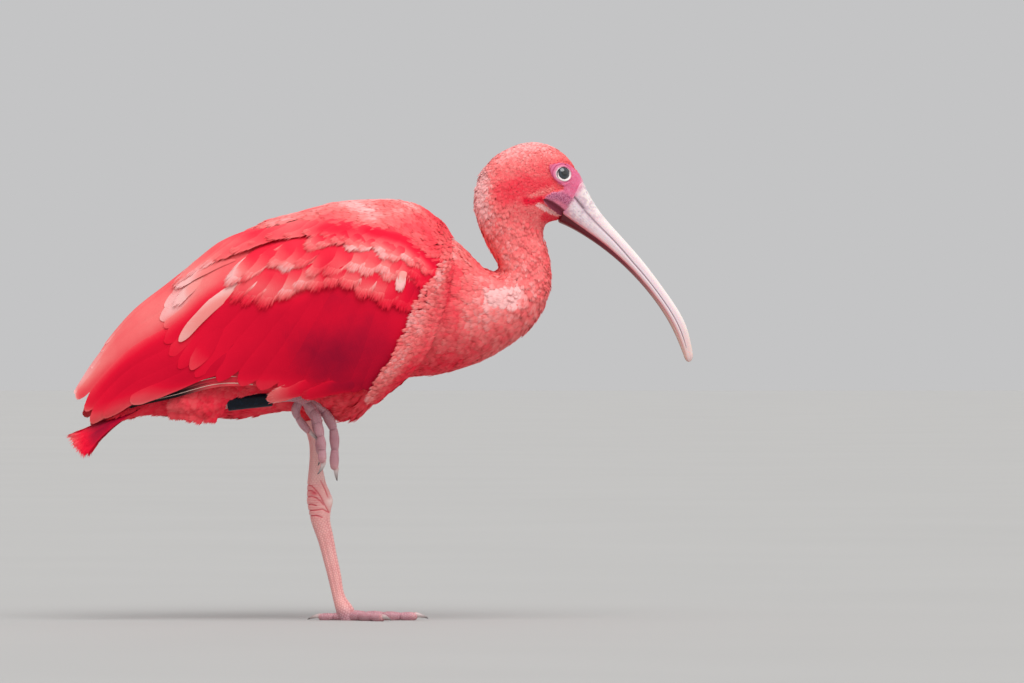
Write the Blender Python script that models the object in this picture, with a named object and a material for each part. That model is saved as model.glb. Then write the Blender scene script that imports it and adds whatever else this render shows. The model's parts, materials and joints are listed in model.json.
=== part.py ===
"""A scarlet ibis as a life-size museum model, standing on its left leg with the right one drawn up.

+X is forward, towards the bill, +Y the bird's left and +Z up. The origin is on the floor, under the
middle of the standing foot. Sizes are millimetres, and MM turns them into metres at each mesh.
Side-view places are (x, z) pairs, where x runs forward and z up from the floor.
"""

import math

import bmesh
import bpy
import numpy as np

MM = 0.001
GAP = 0.3  # what touching pieces keep between them
HALF_GAP = GAP / 2
TINY = 1e-6
EVERY = 1000.0  # larger than the bird, for cutters that have to pass it all

# Sections of the plumed body from bill root to tail root, each across the spine in side view:
# back x, back z, front x, front z, half width, fullness (2 is an ellipse).
HEAD_SECTIONS = (
    (176.2, 329.2, 158.2, 298.1, 9.6, 2.0),
    (169.5, 342.4, 154.5, 297.4, 13.4, 2.1),
    (160.5, 352.0, 151.0, 296.0, 16.0, 2.2),
    (147.0, 358.2, 149.5, 294.0, 18.2, 2.2),
    (128.0, 357.6, 149.0, 292.0, 19.8, 2.1),
    (109.5, 347.2, 149.0, 290.0, 20.4, 2.0),
    (97.5, 330.0, 149.2, 286.5, 20.0, 2.0),
    (94.6, 311.0, 149.8, 282.6, 19.6, 2.0),
)
NECK_SECTIONS = (
    (94.6, 311.0, 149.8, 282.6, 19.6, 2.0),
    (96.6, 297.0, 151.2, 277.6, 19.8, 2.0),
    (101.4, 284.0, 153.0, 269.0, 20.6, 2.0),
    (107.4, 272.5, 153.6, 255.5, 22.0, 2.0),
    (110.8, 264.6, 150.4, 239.0, 24.6, 2.1),
)
TORSO_SECTIONS = (
    (110.8, 264.6, 150.4, 239.0, 24.6, 2.1),
    (104.0, 265.8, 141.0, 222.0, 29.5, 2.1),
    (93.5, 275.0, 125.5, 207.6, 35.5, 2.2),
    (80.0, 286.5, 104.0, 194.6, 42.0, 2.2),
    (62.0, 297.0, 74.0, 184.4, 49.5, 2.2),
    (46.0, 302.0, 52.0, 181.5, 53.5, 2.2),
    (32.0, 304.0, 35.0, 178.0, 54.5, 2.2),
    (19.0, 304.5, 20.0, 162.0, 54.5, 2.2),
    (8.0, 304.2, 8.0, 151.5, 53.5, 2.2),
    (-6.0, 302.5, -7.0, 149.5, 52.0, 2.2),
    (-32.0, 295.0, -34.0, 155.5, 47.0, 2.2),
    (-60.0, 283.0, -62.0, 153.0, 40.5, 2.2),
    (-88.0, 266.0, -90.0, 150.5, 33.0, 2.2),
    (-112.0, 242.0, -113.0, 153.0, 26.0, 2.1),
    (-132.0, 213.0, -132.0, 152.5, 21.0, 2.1),
)
TAIL_SECTIONS = (
    (-132.0, 213.0, -132.0, 153.0, 21.0, 2.1),
    (-144.0, 190.0, -144.0, 152.5, 19.0, 2.2),
    (-156.0, 174.5, -156.0, 151.5, 17.5, 2.4),
    (-168.0, 164.5, -170.0, 149.0, 16.0, 2.6),
)
BODY_SIDES = 22
SPINE_STEPS = {"head": 2, "neck": 1, "torso": 1, "tail": 1}

# The bill, in the same kind of section: ridge x, ridge z, chin x, chin z, half width.
BILL_SECTIONS = (
    (176.2, 329.2, 158.2, 298.1, 9.4),
    (182.2, 317.2, 165.0, 295.1, 7.6),
    (198.0, 295.5, 186.0, 282.4, 5.6),
    (219.0, 271.9, 209.6, 262.9, 4.6),
    (239.2, 245.2, 230.6, 238.9, 3.9),
    (253.9, 220.1, 244.5, 216.0, 3.4),
    (258.6, 200.2, 251.8, 198.4, 2.6),
)
BILL_TIP = (256.2, 193.8)
BILL_STEPS = 2
MOUTH_LINE = 0.2  # share of the bill's depth below the mouth line
# Half outline of the upper bill above the mouth line, with the groove from nostril to tip:
# share of the half width, share of the height.
UPPER_BILL_OUTLINE = (
    (0.0, 0.0),
    (0.96, 0.0),
    (1.0, 0.22),
    (0.92, 0.44),
    (0.76, 0.5),
    (0.86, 0.58),
    (0.66, 0.82),
    (0.3, 0.97),
)
LOWER_BILL_OUTLINE = ((0.0, 0.0), (0.94, 0.0), (0.84, 0.45), (0.5, 0.85))
NOSTRIL_FROM = (170.2, 315.8)
NOSTRIL_TO = (176.4, 308.6)
NOSTRIL_WIDTH = 1.3
NOSTRIL_DEPTH = 1.6

# The mouth line runs on into the skin of the face as a groove, back to the corner.
GAPE = ((160.6, 304.6), (153.6, 309.0), (145.0, 315.2))
GAPE_HEIGHT = 0.9
GAPE_DEPTH = 1.6

EYE_AT = (161.7, 335.0)
EYE_RADIUS = 5.6
EYE_DEPTH = 4.6  # half the eyeball's depth, out of the face
EYE_SUNK = 2.4  # of its middle under the skin
LID_RADIUS = 5.5
LID_THICKNESS = 0.9

# The folded wing's outer surface, as upright sections: x, top z, widest z, lowest z, half width.
WING_SECTIONS = (
    (84.0, 286.5, 240.0, 178.0, 43.8),
    (61.5, 306.7, 240.0, 172.0, 54.0),
    (39.0, 315.0, 239.0, 164.0, 58.5),
    (16.5, 315.8, 236.0, 154.0, 60.5),
    (-6.0, 314.2, 232.0, 148.0, 60.0),
    (-36.0, 307.1, 226.0, 148.0, 56.0),
    (-66.0, 299.2, 218.0, 147.0, 50.0),
    (-96.0, 286.5, 208.0, 146.0, 43.0),
    (-118.5, 269.6, 198.0, 147.0, 37.0),
    (-141.0, 251.5, 187.0, 148.0, 31.0),
    (-163.5, 233.5, 177.0, 146.0, 25.0),
    (-182.2, 212.0, 168.0, 142.0, 19.0),
    (-195.0, 195.0, 162.0, 142.0, 14.0),
    (-206.2, 177.5, 168.0, 163.0, 8.5),
)
WING_TOP_FULLNESS = 2.2
WING_LOW_FULLNESS = 3.0
SECTION_POINTS = 48
# The wing's front and lower edge in side view: x, z.
WING_EDGE = (
    (84.0, 277.0),
    (70.5, 259.5),
    (56.0, 241.0),
    (45.5, 220.0),
    (34.5, 198.0),
    (24.0, 181.0),
    (14.0, 168.0),
    (-2.0, 166.5),
    (-36.0, 170.0),
    (-66.0, 171.5),
    (-96.0, 168.0),
    (-126.0, 165.5),
    (-156.0, 161.5),
    (-178.0, 151.0),
    (-190.0, 147.0),
    (-195.0, 150.0),
    (-201.0, 156.0),
    (-206.2, 167.0),
)
# Depth of the folded wing under its outer surface: x, depth.
WING_DEPTH = (
    (84.0, 3.5),
    (61.5, 14.0),
    (16.5, 17.0),
    (-66.0, 18.0),
    (-96.0, 17.0),
    (-118.5, 14.0),
    (-141.0, 9.0),
    (-163.5, 5.0),
    (-182.2, 3.4),
    (-206.2, 2.0),
)
WING_COLUMNS = 13
WING_ROWS = 7

# Feathers of the folded wing in tiers, each by a few of its feathers in the tier's order, lowest or
# foremost first, in side view: root x, root z, tip x, tip z, width.
PRIMARIES = (
    (-64.5, 174.0, -174.0, 157.5, 10.0),
    (-60.0, 186.0, -186.0, 159.0, 12.0),
)
SECONDARIES = (
    (16.0, 180.0, -169.0, 162.0, 15.0),
    (16.0, 202.0, -190.0, 151.5, 19.0),
    (5.0, 221.0, -197.0, 151.5, 22.0),
    (-6.0, 240.0, -203.5, 158.0, 22.0),
    (-13.5, 259.0, -207.5, 167.5, 20.0),
    (-21.0, 281.0, -204.5, 175.0, 18.0),
    (-30.0, 297.0, -199.0, 183.0, 17.0),
    (-45.0, 302.5, -190.0, 198.0, 16.0),
    (-55.0, 302.0, -183.0, 210.0, 14.0),
)
GREATER_COVERTS = (
    (40.0, 225.0, 14.0, 174.0, 18.0),
    (16.0, 227.0, -15.0, 169.5, 20.0),
    (-13.5, 232.0, -53.0, 171.0, 21.0),
    (-32.0, 240.0, -87.0, 179.0, 21.0),
    (-51.0, 247.0, -123.0, 188.0, 20.0),
    (-62.0, 259.0, -134.0, 209.0, 18.0),
    (-70.0, 268.0, -136.0, 230.0, 16.0),
    (-74.0, 277.0, -128.0, 247.0, 14.0),
)
MEDIAN_COVERTS = (
    (58.0, 262.0, 36.0, 212.0, 15.0),
    (39.0, 271.0, 12.0, 226.0, 16.0),
    (16.5, 277.0, -13.5, 236.0, 16.0),
    (-6.0, 281.0, -42.0, 243.0, 16.0),
    (-25.0, 285.0, -67.0, 251.0, 15.0),
    (-36.0, 288.0, -87.0, 262.0, 14.0),
)
SCAPULARS = (
    (62.0, 287.0, 20.0, 262.0, 16.0),
    (43.0, 298.0, -10.0, 274.0, 17.0),
    (16.5, 305.0, -36.0, 282.0, 17.0),
    (-6.0, 307.0, -64.0, 282.0, 16.0),
    (-28.0, 305.0, -90.0, 278.0, 15.0),
    (-50.0, 302.0, -115.0, 266.0, 14.0),
)
# Of each tier: its feathers, how many, the height of their tips under the wing's outer surface,
# and how thick they are along the shaft.
WING_TIERS = (
    ("primary", PRIMARIES, 4, -3.4, 1.5),
    ("secondary", SECONDARIES, 12, -2.2, 1.6),
    ("greater", GREATER_COVERTS, 9, -1.1, 1.4),
    ("median", MEDIAN_COVERTS, 8, -0.5, 1.3),
    ("scapular", SCAPULARS, 7, -0.1, 1.3),
)
CORE_UNDER = ((84.0, 0.4), (60.0, 0.9), (30.0, 1.8), (-10.0, 2.4), (-160.0, 2.6))
CORE_REAR = -168.0
CORE_EDGE_IN = 5.0
EDGE_THINNING = 0.75  # how much thinner the core is at its front and lower edge
ROOT_SINK = 1.5  # how far a root's top lies under the core's surface
LATERAL_TILT = 0.75  # how much a feather's lower edge stands above its middle
EDGE_THICKNESS = 0.6
VANE_SHARES = (0.0, 0.35, 0.7, 0.92, 1.0)
VANE_WIDTHS = (0.5, 0.92, 1.0, 0.66, 0.2)
VARY = 0.03
SEED = 11

TAIL_ROOT = (-150.0, 164.0)
RECTRICES = 12
TAIL_LENGTH = 66.0
TAIL_DROOP = 24.0  # degrees below level
TAIL_SPREAD = 15.0  # degrees from the middle to the outer feather
TAIL_BASE = 8.0  # half width of the feathers' roots
TAIL_WIDTH = 13.0
TAIL_ARCH = 13.0  # how far the outer feathers' tips lie below the middle ones
TAIL_LAYER = 0.35  # how far each feather lies under the one nearer the middle
TAIL_THICKNESS = 1.2
TAIL_ENVELOPE = 2.6  # half thickness of the plate that holds all the tail's feathers

# Legs as tubes: x, y, z, fore-and-aft radius, sideways radius.
LEG_LEFT = (
    (-10.0, 25.0, 205.0, 22.0, 19.0),
    (-20.0, 21.0, 182.0, 17.0, 15.0),
    (-27.0, 17.0, 165.0, 12.0, 11.0),
    (-27.0, 14.2, 149.0, 7.8, 7.4),
    (-25.2, 12.4, 135.0, 4.6, 4.2),
    (-24.8, 11.6, 121.0, 4.2, 3.7),
    (-24.2, 10.8, 109.5, 5.8, 4.6),
    (-23.3, 10.0, 98.5, 7.8, 6.0),
    (-21.8, 9.3, 90.0, 9.3, 6.8),
    (-21.4, 8.7, 82.0, 8.3, 6.3),
    (-20.5, 8.0, 74.0, 7.0, 5.4),
    (-18.0, 7.0, 65.0, 6.2, 4.8),
    (-13.8, 5.2, 48.0, 5.3, 4.1),
    (-9.6, 3.0, 30.0, 4.8, 3.8),
    (-5.6, 1.2, 14.0, 5.0, 4.6),
    (-1.8, 0.2, 6.0, 6.6, 6.4),
    (0.6, 0.0, -1.6, 6.0, 6.0),
)
SHIN_FROM = 4  # row of the leg where its feathering ends
TARSUS_FROM = 6
LEG_STEPS = 2
TARSUS_RIGHT = (
    (-120.0, -17.5, 158.0, 3.5, 4.5),
    (-116.0, -18.0, 159.0, 6.4, 8.2),
    (-108.0, -18.8, 160.4, 5.6, 6.8),
    (-98.0, -20.0, 161.8, 4.2, 4.9),
    (-76.0, -22.0, 164.6, 3.7, 4.3),
    (-52.0, -23.5, 167.2, 3.8, 4.4),
    (-38.0, -24.0, 168.4, 5.0, 5.2),
    (-32.0, -24.0, 167.4, 6.4, 6.0),
    (-27.0, -24.0, 165.0, 4.6, 4.6),
)
BAND_FROM = 0.33  # share of the raised tarsus's length
BAND_TO = 0.68
BAND_RADIUS = 6.0
LEG_SIDES = 12

# Toes: length, heading in degrees to the left of forward, root and tip radius.
TOES = {
    "middle": (52.0, -2.0, 3.9, 3.1),
    "outer": (45.0, 44.0, 3.7, 2.8),
    "inner": (39.0, -46.0, 3.6, 2.7),
    "hind": (23.0, 176.0, 3.3, 2.5),
}
TOE_SIDES = 8
TOE_FLAT = 0.86  # height of a toe's middle above the floor, as a share of its radius
TOE_PADS = {"middle": 4, "outer": 4, "inner": 3, "hind": 2}
PAD_SWELL = 0.13
CLAW_LENGTH = 8.0
CLAW_RADIUS = 0.75  # at its root, as a share of the toe's
CLAW_DROP = 0.35  # of its length, how far the standing foot's claws curl down
CLAW_STEPS = 3
CLAW_SIDES = 6
# The raised foot's toes hang from its joint: side-view points, the sideways place of the end, and
# how far forward the claw's tip curls, as a share of its length.
HANGING_TOES = {
    "middle": (
        ((-30.0, 166.0), (-17.0, 156.0), (-10.6, 143.0), (-9.6, 126.0), (-9.8, 112.5)),
        -20.0,
        0.1,
    ),
    "outer": (
        ((-32.0, 164.0), (-25.4, 158.0), (-21.0, 144.0), (-18.6, 129.0), (-18.8, 117.6)),
        -29.0,
        -0.4,
    ),
    "inner": (((-31.0, 164.0), (-25.0, 152.0), (-21.5, 138.0), (-20.5, 124.0)), -18.0, -0.3),
    "hind": (((-35.0, 165.0), (-38.5, 157.0), (-33.5, 147.5), (-28.2, 140.6)), -21.0, 0.2),
}

COLOURS = {
    "plumage": (0.80, 0.05, 0.05),
    "face": (0.72, 0.22, 0.28),
    "horn": (0.78, 0.50, 0.46),
    "leg": (0.75, 0.28, 0.27),
    "claw": (0.35, 0.28, 0.26),
    "eye": (0.02, 0.02, 0.02),
    "band": (0.02, 0.05, 0.10),
}
ROUGHNESS = {"horn": 0.35, "eye": 0.08, "claw": 0.4, "band": 0.35}
SMOOTH_ANGLE = math.radians(40)


def clear_scene():
    for obj in list(bpy.data.objects):
        bpy.data.objects.remove(obj)


def material(name):
    """The Principled material of that name, made once."""
    made = bpy.data.materials.get(name)
    if made is None:
        made = bpy.data.materials.new(name)
        made.use_nodes = True
        shader = made.node_tree.nodes["Principled BSDF"]
        shader.inputs["Base Color"].default_value = (*COLOURS[name], 1.0)
        shader.inputs["Roughness"].default_value = ROUGHNESS.get(name, 0.6)
        shader.inputs["Metallic"].default_value = 0.0
    return made


def solid(name, points, faces):
    """A mesh object from points in millimetres, its faces triangles that point outwards."""
    mesh = bpy.data.meshes.new(name)
    mesh.from_pydata([tuple(float(c) * MM for c in p) for p in points], [], faces)
    work = bmesh.new()
    work.from_mesh(mesh)
    bmesh.ops.triangulate(work, faces=work.faces[:])
    bmesh.ops.recalc_face_normals(work, faces=work.faces[:])
    if work.calc_volume(signed=True) < 0:
        bmesh.ops.reverse_faces(work, faces=work.faces[:])
    work.to_mesh(mesh)
    work.free()
    obj = bpy.data.objects.new(name, mesh)
    bpy.context.scene.collection.objects.link(obj)
    return obj


def finish(obj, colour):
    """Gives a finished piece its material and its shading."""
    obj.data.materials.clear()
    obj.data.materials.append(material(colour))
    obj.data.shade_smooth()
    obj.data.set_sharp_from_angle(angle=SMOOTH_ANGLE)
    return obj


def largest_surface(obj):
    """Keeps only the largest closed surface of a mesh."""
    work = bmesh.new()
    work.from_mesh(obj.data)
    unseen = set(work.faces)
    shells = []
    while unseen:
        stack = [unseen.pop()]
        shell = list(stack)
        while stack:
            for edge in stack.pop().edges:
                for face in edge.link_faces:
                    if face in unseen:
                        unseen.remove(face)
                        stack.append(face)
                        shell.append(face)
        shells.append(shell)
    if len(shells) > 1:
        kept = max(shells, key=lambda shell: sum(face.calc_area() for face in shell))
        dropped = [face for shell in shells if shell is not kept for face in shell]
        bmesh.ops.delete(work, geom=dropped, context="FACES")
    work.to_mesh(obj.data)
    work.free()


def combine(obj, operation, others):
    """One Boolean between obj and a collection of closed meshes, applied, the others then removed."""
    group = bpy.data.collections.new(obj.name + "_others")
    bpy.context.scene.collection.children.link(group)
    for other in others:
        bpy.context.scene.collection.objects.unlink(other)
        group.objects.link(other)
    boolean = obj.modifiers.new(operation.lower(), "BOOLEAN")
    boolean.operation = operation
    boolean.operand_type = "COLLECTION"
    boolean.collection = group
    boolean.solver = "MANIFOLD"
    bpy.context.view_layer.update()
    graph = bpy.context.evaluated_depsgraph_get()
    made = bpy.data.meshes.new_from_object(obj.evaluated_get(graph))
    obj.modifiers.clear()
    obj.data = made
    for other in others:
        bpy.data.objects.remove(other)
    bpy.data.collections.remove(group)
    largest_surface(obj)
    return obj


def spline(rows, steps):
    """Rows of numbers carried along a natural cubic spline, with steps rows for each span."""
    table = np.array(rows, float)
    if table.shape[1] > 4:
        middle = (table[:, 0:2] + table[:, 2:4]) / 2
    else:
        middle = table[:, :2]
    knots = lengths_along(middle)
    return through(knots, table, spans(knots, steps))


def lengths_along(points):
    """How far along a line of points each one lies."""
    return np.concatenate([[0], np.cumsum(np.linalg.norm(np.diff(points, axis=0), axis=1))])


def spans(knots, steps):
    """The knots, with each span between two of them cut in equal steps."""
    cut = [np.linspace(a, b, steps, endpoint=False) for a, b in zip(knots, knots[1:])]
    return np.concatenate(cut + [[knots[-1]]])


def through(knots, table, at):
    """The natural cubic spline through table at knots, read at the places in at."""
    knots = np.asarray(knots, float)
    table = np.asarray(table, float)
    count = len(knots)
    widths = np.diff(knots)
    system = np.eye(count)
    right = np.zeros_like(table)
    for i in range(1, count - 1):
        system[i, i - 1 : i + 2] = (widths[i - 1], 2 * (widths[i - 1] + widths[i]), widths[i])
        slopes = (table[i + 1] - table[i]) / widths[i] - (table[i] - table[i - 1]) / widths[i - 1]
        right[i] = 6 * slopes
    bends = np.linalg.solve(system, right)
    span = np.clip(np.searchsorted(knots, at, side="right") - 1, 0, count - 2)
    width = widths[span]
    left = (knots[span + 1] - at) / width
    after = 1 - left
    if table.ndim > 1:
        left, after, width = left[:, None], after[:, None], width[:, None]
    curve = ((left**3 - left) * bends[span] + (after**3 - after) * bends[span + 1]) * width**2 / 6
    return left * table[span] + after * table[span + 1] + curve


def value_at(rows, x):
    """The height of a side-view line at x, from rows of x and height that run backwards."""
    table = np.array(rows, float)
    return float(through(-table[:, 0], table[:, 1], np.array([-x]))[0])


def power(value, fullness):
    return math.copysign(abs(value) ** (2 / fullness), value)


def body_ring(row, grow=0.0, sides=BODY_SIDES):
    """The outline of one body section, in space."""
    back_x, back_z, front_x, front_z, half, full = row
    axis = np.array([back_x - front_x, back_z - front_z])
    depth = np.linalg.norm(axis) / 2
    axis /= 2 * depth
    middle = np.array([back_x + front_x, back_z + front_z]) / 2
    points = []
    for k in range(sides):
        turn = math.tau * k / sides
        along = power(math.cos(turn), full) * (depth + grow)
        side = power(math.sin(turn), full) * (half + grow)
        points.append((middle[0] + axis[0] * along, side, middle[1] + axis[1] * along))
    return points


def skin_over(rings):
    """Faces over rings of equal count, each end closed by one flat face."""
    sides = len(rings[0])
    faces = [tuple(range(sides)), tuple(range((len(rings) - 1) * sides, len(rings) * sides))]
    for i in range(len(rings) - 1):
        for k in range(sides):
            after = (k + 1) % sides
            faces.append((i * sides + k, i * sides + after, (i + 1) * sides + after, (i + 1) * sides + k))
    return faces


def loft(name, rings):
    return solid(name, [p for ring in rings for p in ring], skin_over(rings))


def move_ends(rings, first, last):
    """Moves the end rings in by these distances, or out where they are negative."""
    moved = [np.array(ring, float) for ring in rings]
    for end, neighbour, distance in ((0, 1, first), (-1, -2, last)):
        if distance:
            way = moved[neighbour].mean(axis=0) - moved[end].mean(axis=0)
            normal = flat_normal(moved[end])
            normal *= math.copysign(1.0, normal @ way)
            moved[end] = moved[end] + normal * distance
    return moved


def flat_normal(ring):
    """The normal of a flat ring of points."""
    centre = ring.mean(axis=0)
    quarter = len(ring) // 4
    normal = np.cross(ring[0] - centre, ring[quarter] - centre)
    return normal / np.linalg.norm(normal)


def body_piece(name, sections, first, last, grow=0.0):
    rows = spline(sections, SPINE_STEPS[name.split("_")[0]])
    rings = [body_ring(row, grow) for row in rows]
    return loft(name, move_ends(rings, first, last))


def torso_grown():
    """The torso a gap larger all round, to cut clear what lies on it."""
    return body_piece("torso_grown", TORSO_SECTIONS, -GAP, -GAP, GAP)


def eye_solid(name, centre, outward, grow=0.0, around=12, rings=7):
    """An eyeball, a little flattened, its poles along the way it looks."""
    outward = outward / np.linalg.norm(outward)
    forward = np.cross(outward, (0.0, 0.0, 1.0))
    forward /= np.linalg.norm(forward)
    upward = np.cross(forward, outward)
    points = [centre - outward * (EYE_DEPTH + grow)]
    for i in range(1, rings):
        lift = math.pi * i / rings
        reach = (EYE_RADIUS + grow) * math.sin(lift)
        for k in range(around):
            turn = math.tau * k / around
            spot = centre - outward * (EYE_DEPTH + grow) * math.cos(lift)
            points.append(spot + (forward * math.cos(turn) + upward * math.sin(turn)) * reach)
    points.append(centre + outward * (EYE_DEPTH + grow))
    last = len(points) - 1
    faces = []
    for k in range(around):
        after = (k + 1) % around
        faces.append((0, 1 + k, 1 + after))
        faces.append((last, last - around + k, last - around + after))
        for i in range(rings - 2):
            low = 1 + i * around
            faces.append((low + k, low + after, low + around + after, low + around + k))
    return solid(name, points, faces)


def eye_place(head, side):
    """The middle of an eyeball and the way it looks, square to the skin round it."""
    x, z = EYE_AT
    ahead = skin_at(head, x + LID_RADIUS, z, side)
    behind = skin_at(head, x - LID_RADIUS, z, side)
    above = skin_at(head, x, z + LID_RADIUS, side)
    below = skin_at(head, x, z - LID_RADIUS, side)
    wide = 2 * LID_RADIUS
    outward = np.array([(behind - ahead) / wide, side, (below - above) / wide])
    outward /= np.linalg.norm(outward)
    middle = np.array([x, side * (ahead + behind + above + below) / 4, z])
    return middle - outward * EYE_SUNK, outward


def skin_at(head, x, z, side):
    """How far out the head's skin lies on one side, at a side-view place."""
    hit, spot, _, _ = head.ray_cast((x * MM, side * EVERY * MM, z * MM), (0.0, -side, 0.0))
    return abs(spot.y) / MM if hit else 0.0


def gape_cutter(head, side):
    """A wedge along the mouth's line in the face, thinning to nothing at the corner."""
    rings = []
    for i, (x, z) in enumerate(GAPE):
        out = skin_at(head, x, z, side)
        size = 1 - 0.8 * i / (len(GAPE) - 1)
        high = GAPE_HEIGHT * size
        inner, outer = out - GAPE_DEPTH * size, out + GAPE_DEPTH * size
        rings.append(
            [
                (x - high / 2, side * outer, z - high),
                (x + high / 2, side * outer, z + high),
                (x, side * inner, z),
            ]
        )
    ahead = np.array(rings[0]) + (np.array(rings[0]) - np.array(rings[1]))
    return loft(f"gape_{side}", [ahead] + rings)


def lid_ring(head, name, side):
    """The fold of skin round an eye, laid on the face."""
    around, across = 16, 6
    rings = []
    for k in range(around):
        turn = math.tau * k / around
        x = EYE_AT[0] + LID_RADIUS * math.cos(turn)
        z = EYE_AT[1] + LID_RADIUS * math.sin(turn)
        out = skin_at(head, x, z, side)
        for j in range(across):
            roll = math.tau * j / across
            reach = LID_RADIUS + LID_THICKNESS * math.cos(roll)
            rings.append(
                (
                    EYE_AT[0] + reach * math.cos(turn),
                    side * (out + LID_THICKNESS * math.sin(roll)),
                    EYE_AT[1] + reach * math.sin(turn),
                )
            )
    faces = []
    for k in range(around):
        after = (k + 1) % around
        for j in range(across):
            up = (j + 1) % across
            faces.append((k * across + j, after * across + j, after * across + up, k * across + up))
    return solid(name, rings, faces)


def make_head():
    head = body_piece("head", HEAD_SECTIONS, HALF_GAP, HALF_GAP)
    grooves = [gape_cutter(head, side) for side in (-1, 1)]
    lids = [lid_ring(head, f"lid_{side}", side) for side in (-1, 1)]
    eyes = [eye_place(head, side) for side in (-1, 1)]
    combine(head, "DIFFERENCE", grooves)
    combine(head, "UNION", lids)
    sockets = [eye_solid(f"socket_{i}", *eye, GAP) for i, eye in enumerate(eyes)]
    combine(head, "DIFFERENCE", sockets)
    finish(head, "plumage")
    for name, eye in zip(("eye_right", "eye_left"), eyes):
        finish(eye_solid(name, *eye), "eye")


def bill_half(name, outline, rows, sign):
    """One half of the bill: sign is 1 above the mouth line and -1 below it."""
    rings = []
    for ridge_x, ridge_z, chin_x, chin_z, half in rows:
        ridge = np.array([ridge_x, ridge_z])
        chin = np.array([chin_x, chin_z])
        up = (ridge - chin) / np.linalg.norm(ridge - chin)
        mouth = chin + (ridge - chin) * MOUTH_LINE
        top = ridge if sign > 0 else chin
        height = np.linalg.norm(top - mouth) - HALF_GAP
        base = mouth + sign * up * HALF_GAP
        right = [(w * half, h * height) for w, h in outline]
        left = [(-w, h) for w, h in right[:0:-1]]
        ring = []
        for w, h in right + [(0.0, height)] + left:
            place = base + sign * up * h
            ring.append((place[0], w, place[1]))
        rings.append(ring)
    return loft(name, move_ends(rings, HALF_GAP, 0))


def bill_rows():
    """The bill's sections, drawn in to a blunt tip."""
    rows = spline(BILL_SECTIONS, BILL_STEPS)
    last = rows[-1]
    tip = np.array([BILL_TIP[0], BILL_TIP[1]] * 2 + [0.0])
    ends = []
    for share, size in ((0.55, 0.8), (0.9, 0.42)):
        middle = np.concatenate([(last[0:2] + last[2:4]) / 2] * 2 + [[0.0]])
        spread = (last - middle) * size
        ends.append(middle * (1 - share) + tip * share + spread)
    return np.vstack([rows, ends])


def make_bill():
    rows = bill_rows()
    upper = bill_half("bill_upper", UPPER_BILL_OUTLINE, rows, 1)
    start, end = np.array(NOSTRIL_FROM), np.array(NOSTRIL_TO)
    way = (end - start) / np.linalg.norm(end - start)
    over = np.array([-way[1], way[0]])
    slits = []
    for side in (-1, 1):
        points = []
        for place in (start, end):
            half = half_width_of_bill(place, rows)
            for across in (-NOSTRIL_WIDTH / 2, NOSTRIL_WIDTH / 2):
                spot = place + over * across
                points.append((spot[0], side * (half - NOSTRIL_DEPTH), spot[1]))
                points.append((spot[0], side * (half + NOSTRIL_DEPTH), spot[1]))
        faces = [(0, 1, 3, 2), (4, 6, 7, 5), (0, 2, 6, 4), (1, 5, 7, 3), (0, 4, 5, 1), (2, 3, 7, 6)]
        slits.append(solid(f"nostril_{side}", points, faces))
    combine(upper, "DIFFERENCE", slits)
    finish(upper, "horn")
    finish(bill_half("bill_lower", LOWER_BILL_OUTLINE, rows, -1), "horn")


def half_width_of_bill(place, rows):
    """The bill's half width at the section nearest a side-view place."""
    middles = (rows[:, 0:2] + rows[:, 2:4]) / 2
    return rows[np.argmin(np.linalg.norm(middles - place, axis=1)), 4]


def tube_rings(rows, sides, steps, sideways=(0.0, 1.0, 0.0)):
    """Rings across a smooth line of x, y, z, radius one way and radius along the sideways way."""
    table = np.array(rows, float)
    knots = lengths_along(table[:, :3])
    smooth = through(knots, table, spans(knots, steps))
    middles = smooth[:, :3]
    ways = np.gradient(middles, axis=0)
    rings = []
    for middle, way, fore, side in zip(middles, ways, smooth[:, 3], smooth[:, 4]):
        way = way / np.linalg.norm(way)
        out = np.array(sideways, float)
        out -= way * (out @ way)
        out /= np.linalg.norm(out)
        across = np.cross(way, out)
        turns = math.tau * (np.arange(sides) + 0.5) / sides
        ring = middle + np.outer(np.cos(turns) * fore, across) + np.outer(np.sin(turns) * side, out)
        rings.append(ring)
    return rings


def grown_tube(name, rows, steps):
    """A tube a gap larger all round, as a cutter."""
    grown = [(x, y, z, fore + GAP, side + GAP) for x, y, z, fore, side in rows]
    return loft(name, move_ends(tube_rings(grown, LEG_SIDES, steps), -GAP, -GAP))


def rest_on_floor(rings):
    """Flattens whatever reaches below the floor onto it."""
    for ring in rings:
        ring[:, 2] = np.maximum(ring[:, 2], 0.0)
    return rings


def toe_rows(path, radii, pads):
    """Rows of a toe along its path, with a swelling for each pad."""
    points = np.array(path, float)
    knots = lengths_along(points)
    steps = 2 * pads + 1
    shares = np.linspace(0, 1, steps)
    middles = through(knots, points, shares * knots[-1])
    rows = []
    for i, (middle, share) in enumerate(zip(middles, shares)):
        radius = radii[0] + (radii[1] - radii[0]) * share
        radius *= 1 + PAD_SWELL * (1 if i % 2 else -1)
        rows.append((*middle, radius, radius))
    return rows


def claw_rows(start, way, curl, radius):
    """Rows of a claw that leaves a toe's end and curls to a point."""
    rows = []
    for i in range(CLAW_STEPS + 1):
        share = i / CLAW_STEPS
        place = start + (way * share + curl * share**2) * CLAW_LENGTH
        size = radius * (1 - share) ** 0.8 + 0.25
        rows.append((*place, size * 1.1, size * 0.8))
    return rows


def toe_loft(name, rows, sideways, floor, grow):
    grown = [(*row[:3], row[3] + grow, row[4] + grow) for row in rows]
    rings = move_ends(tube_rings(grown, TOE_SIDES, 1, sideways), -grow, -grow)
    if floor and not grow:
        rings = rest_on_floor(rings)
    return loft(name, rings)


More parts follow.
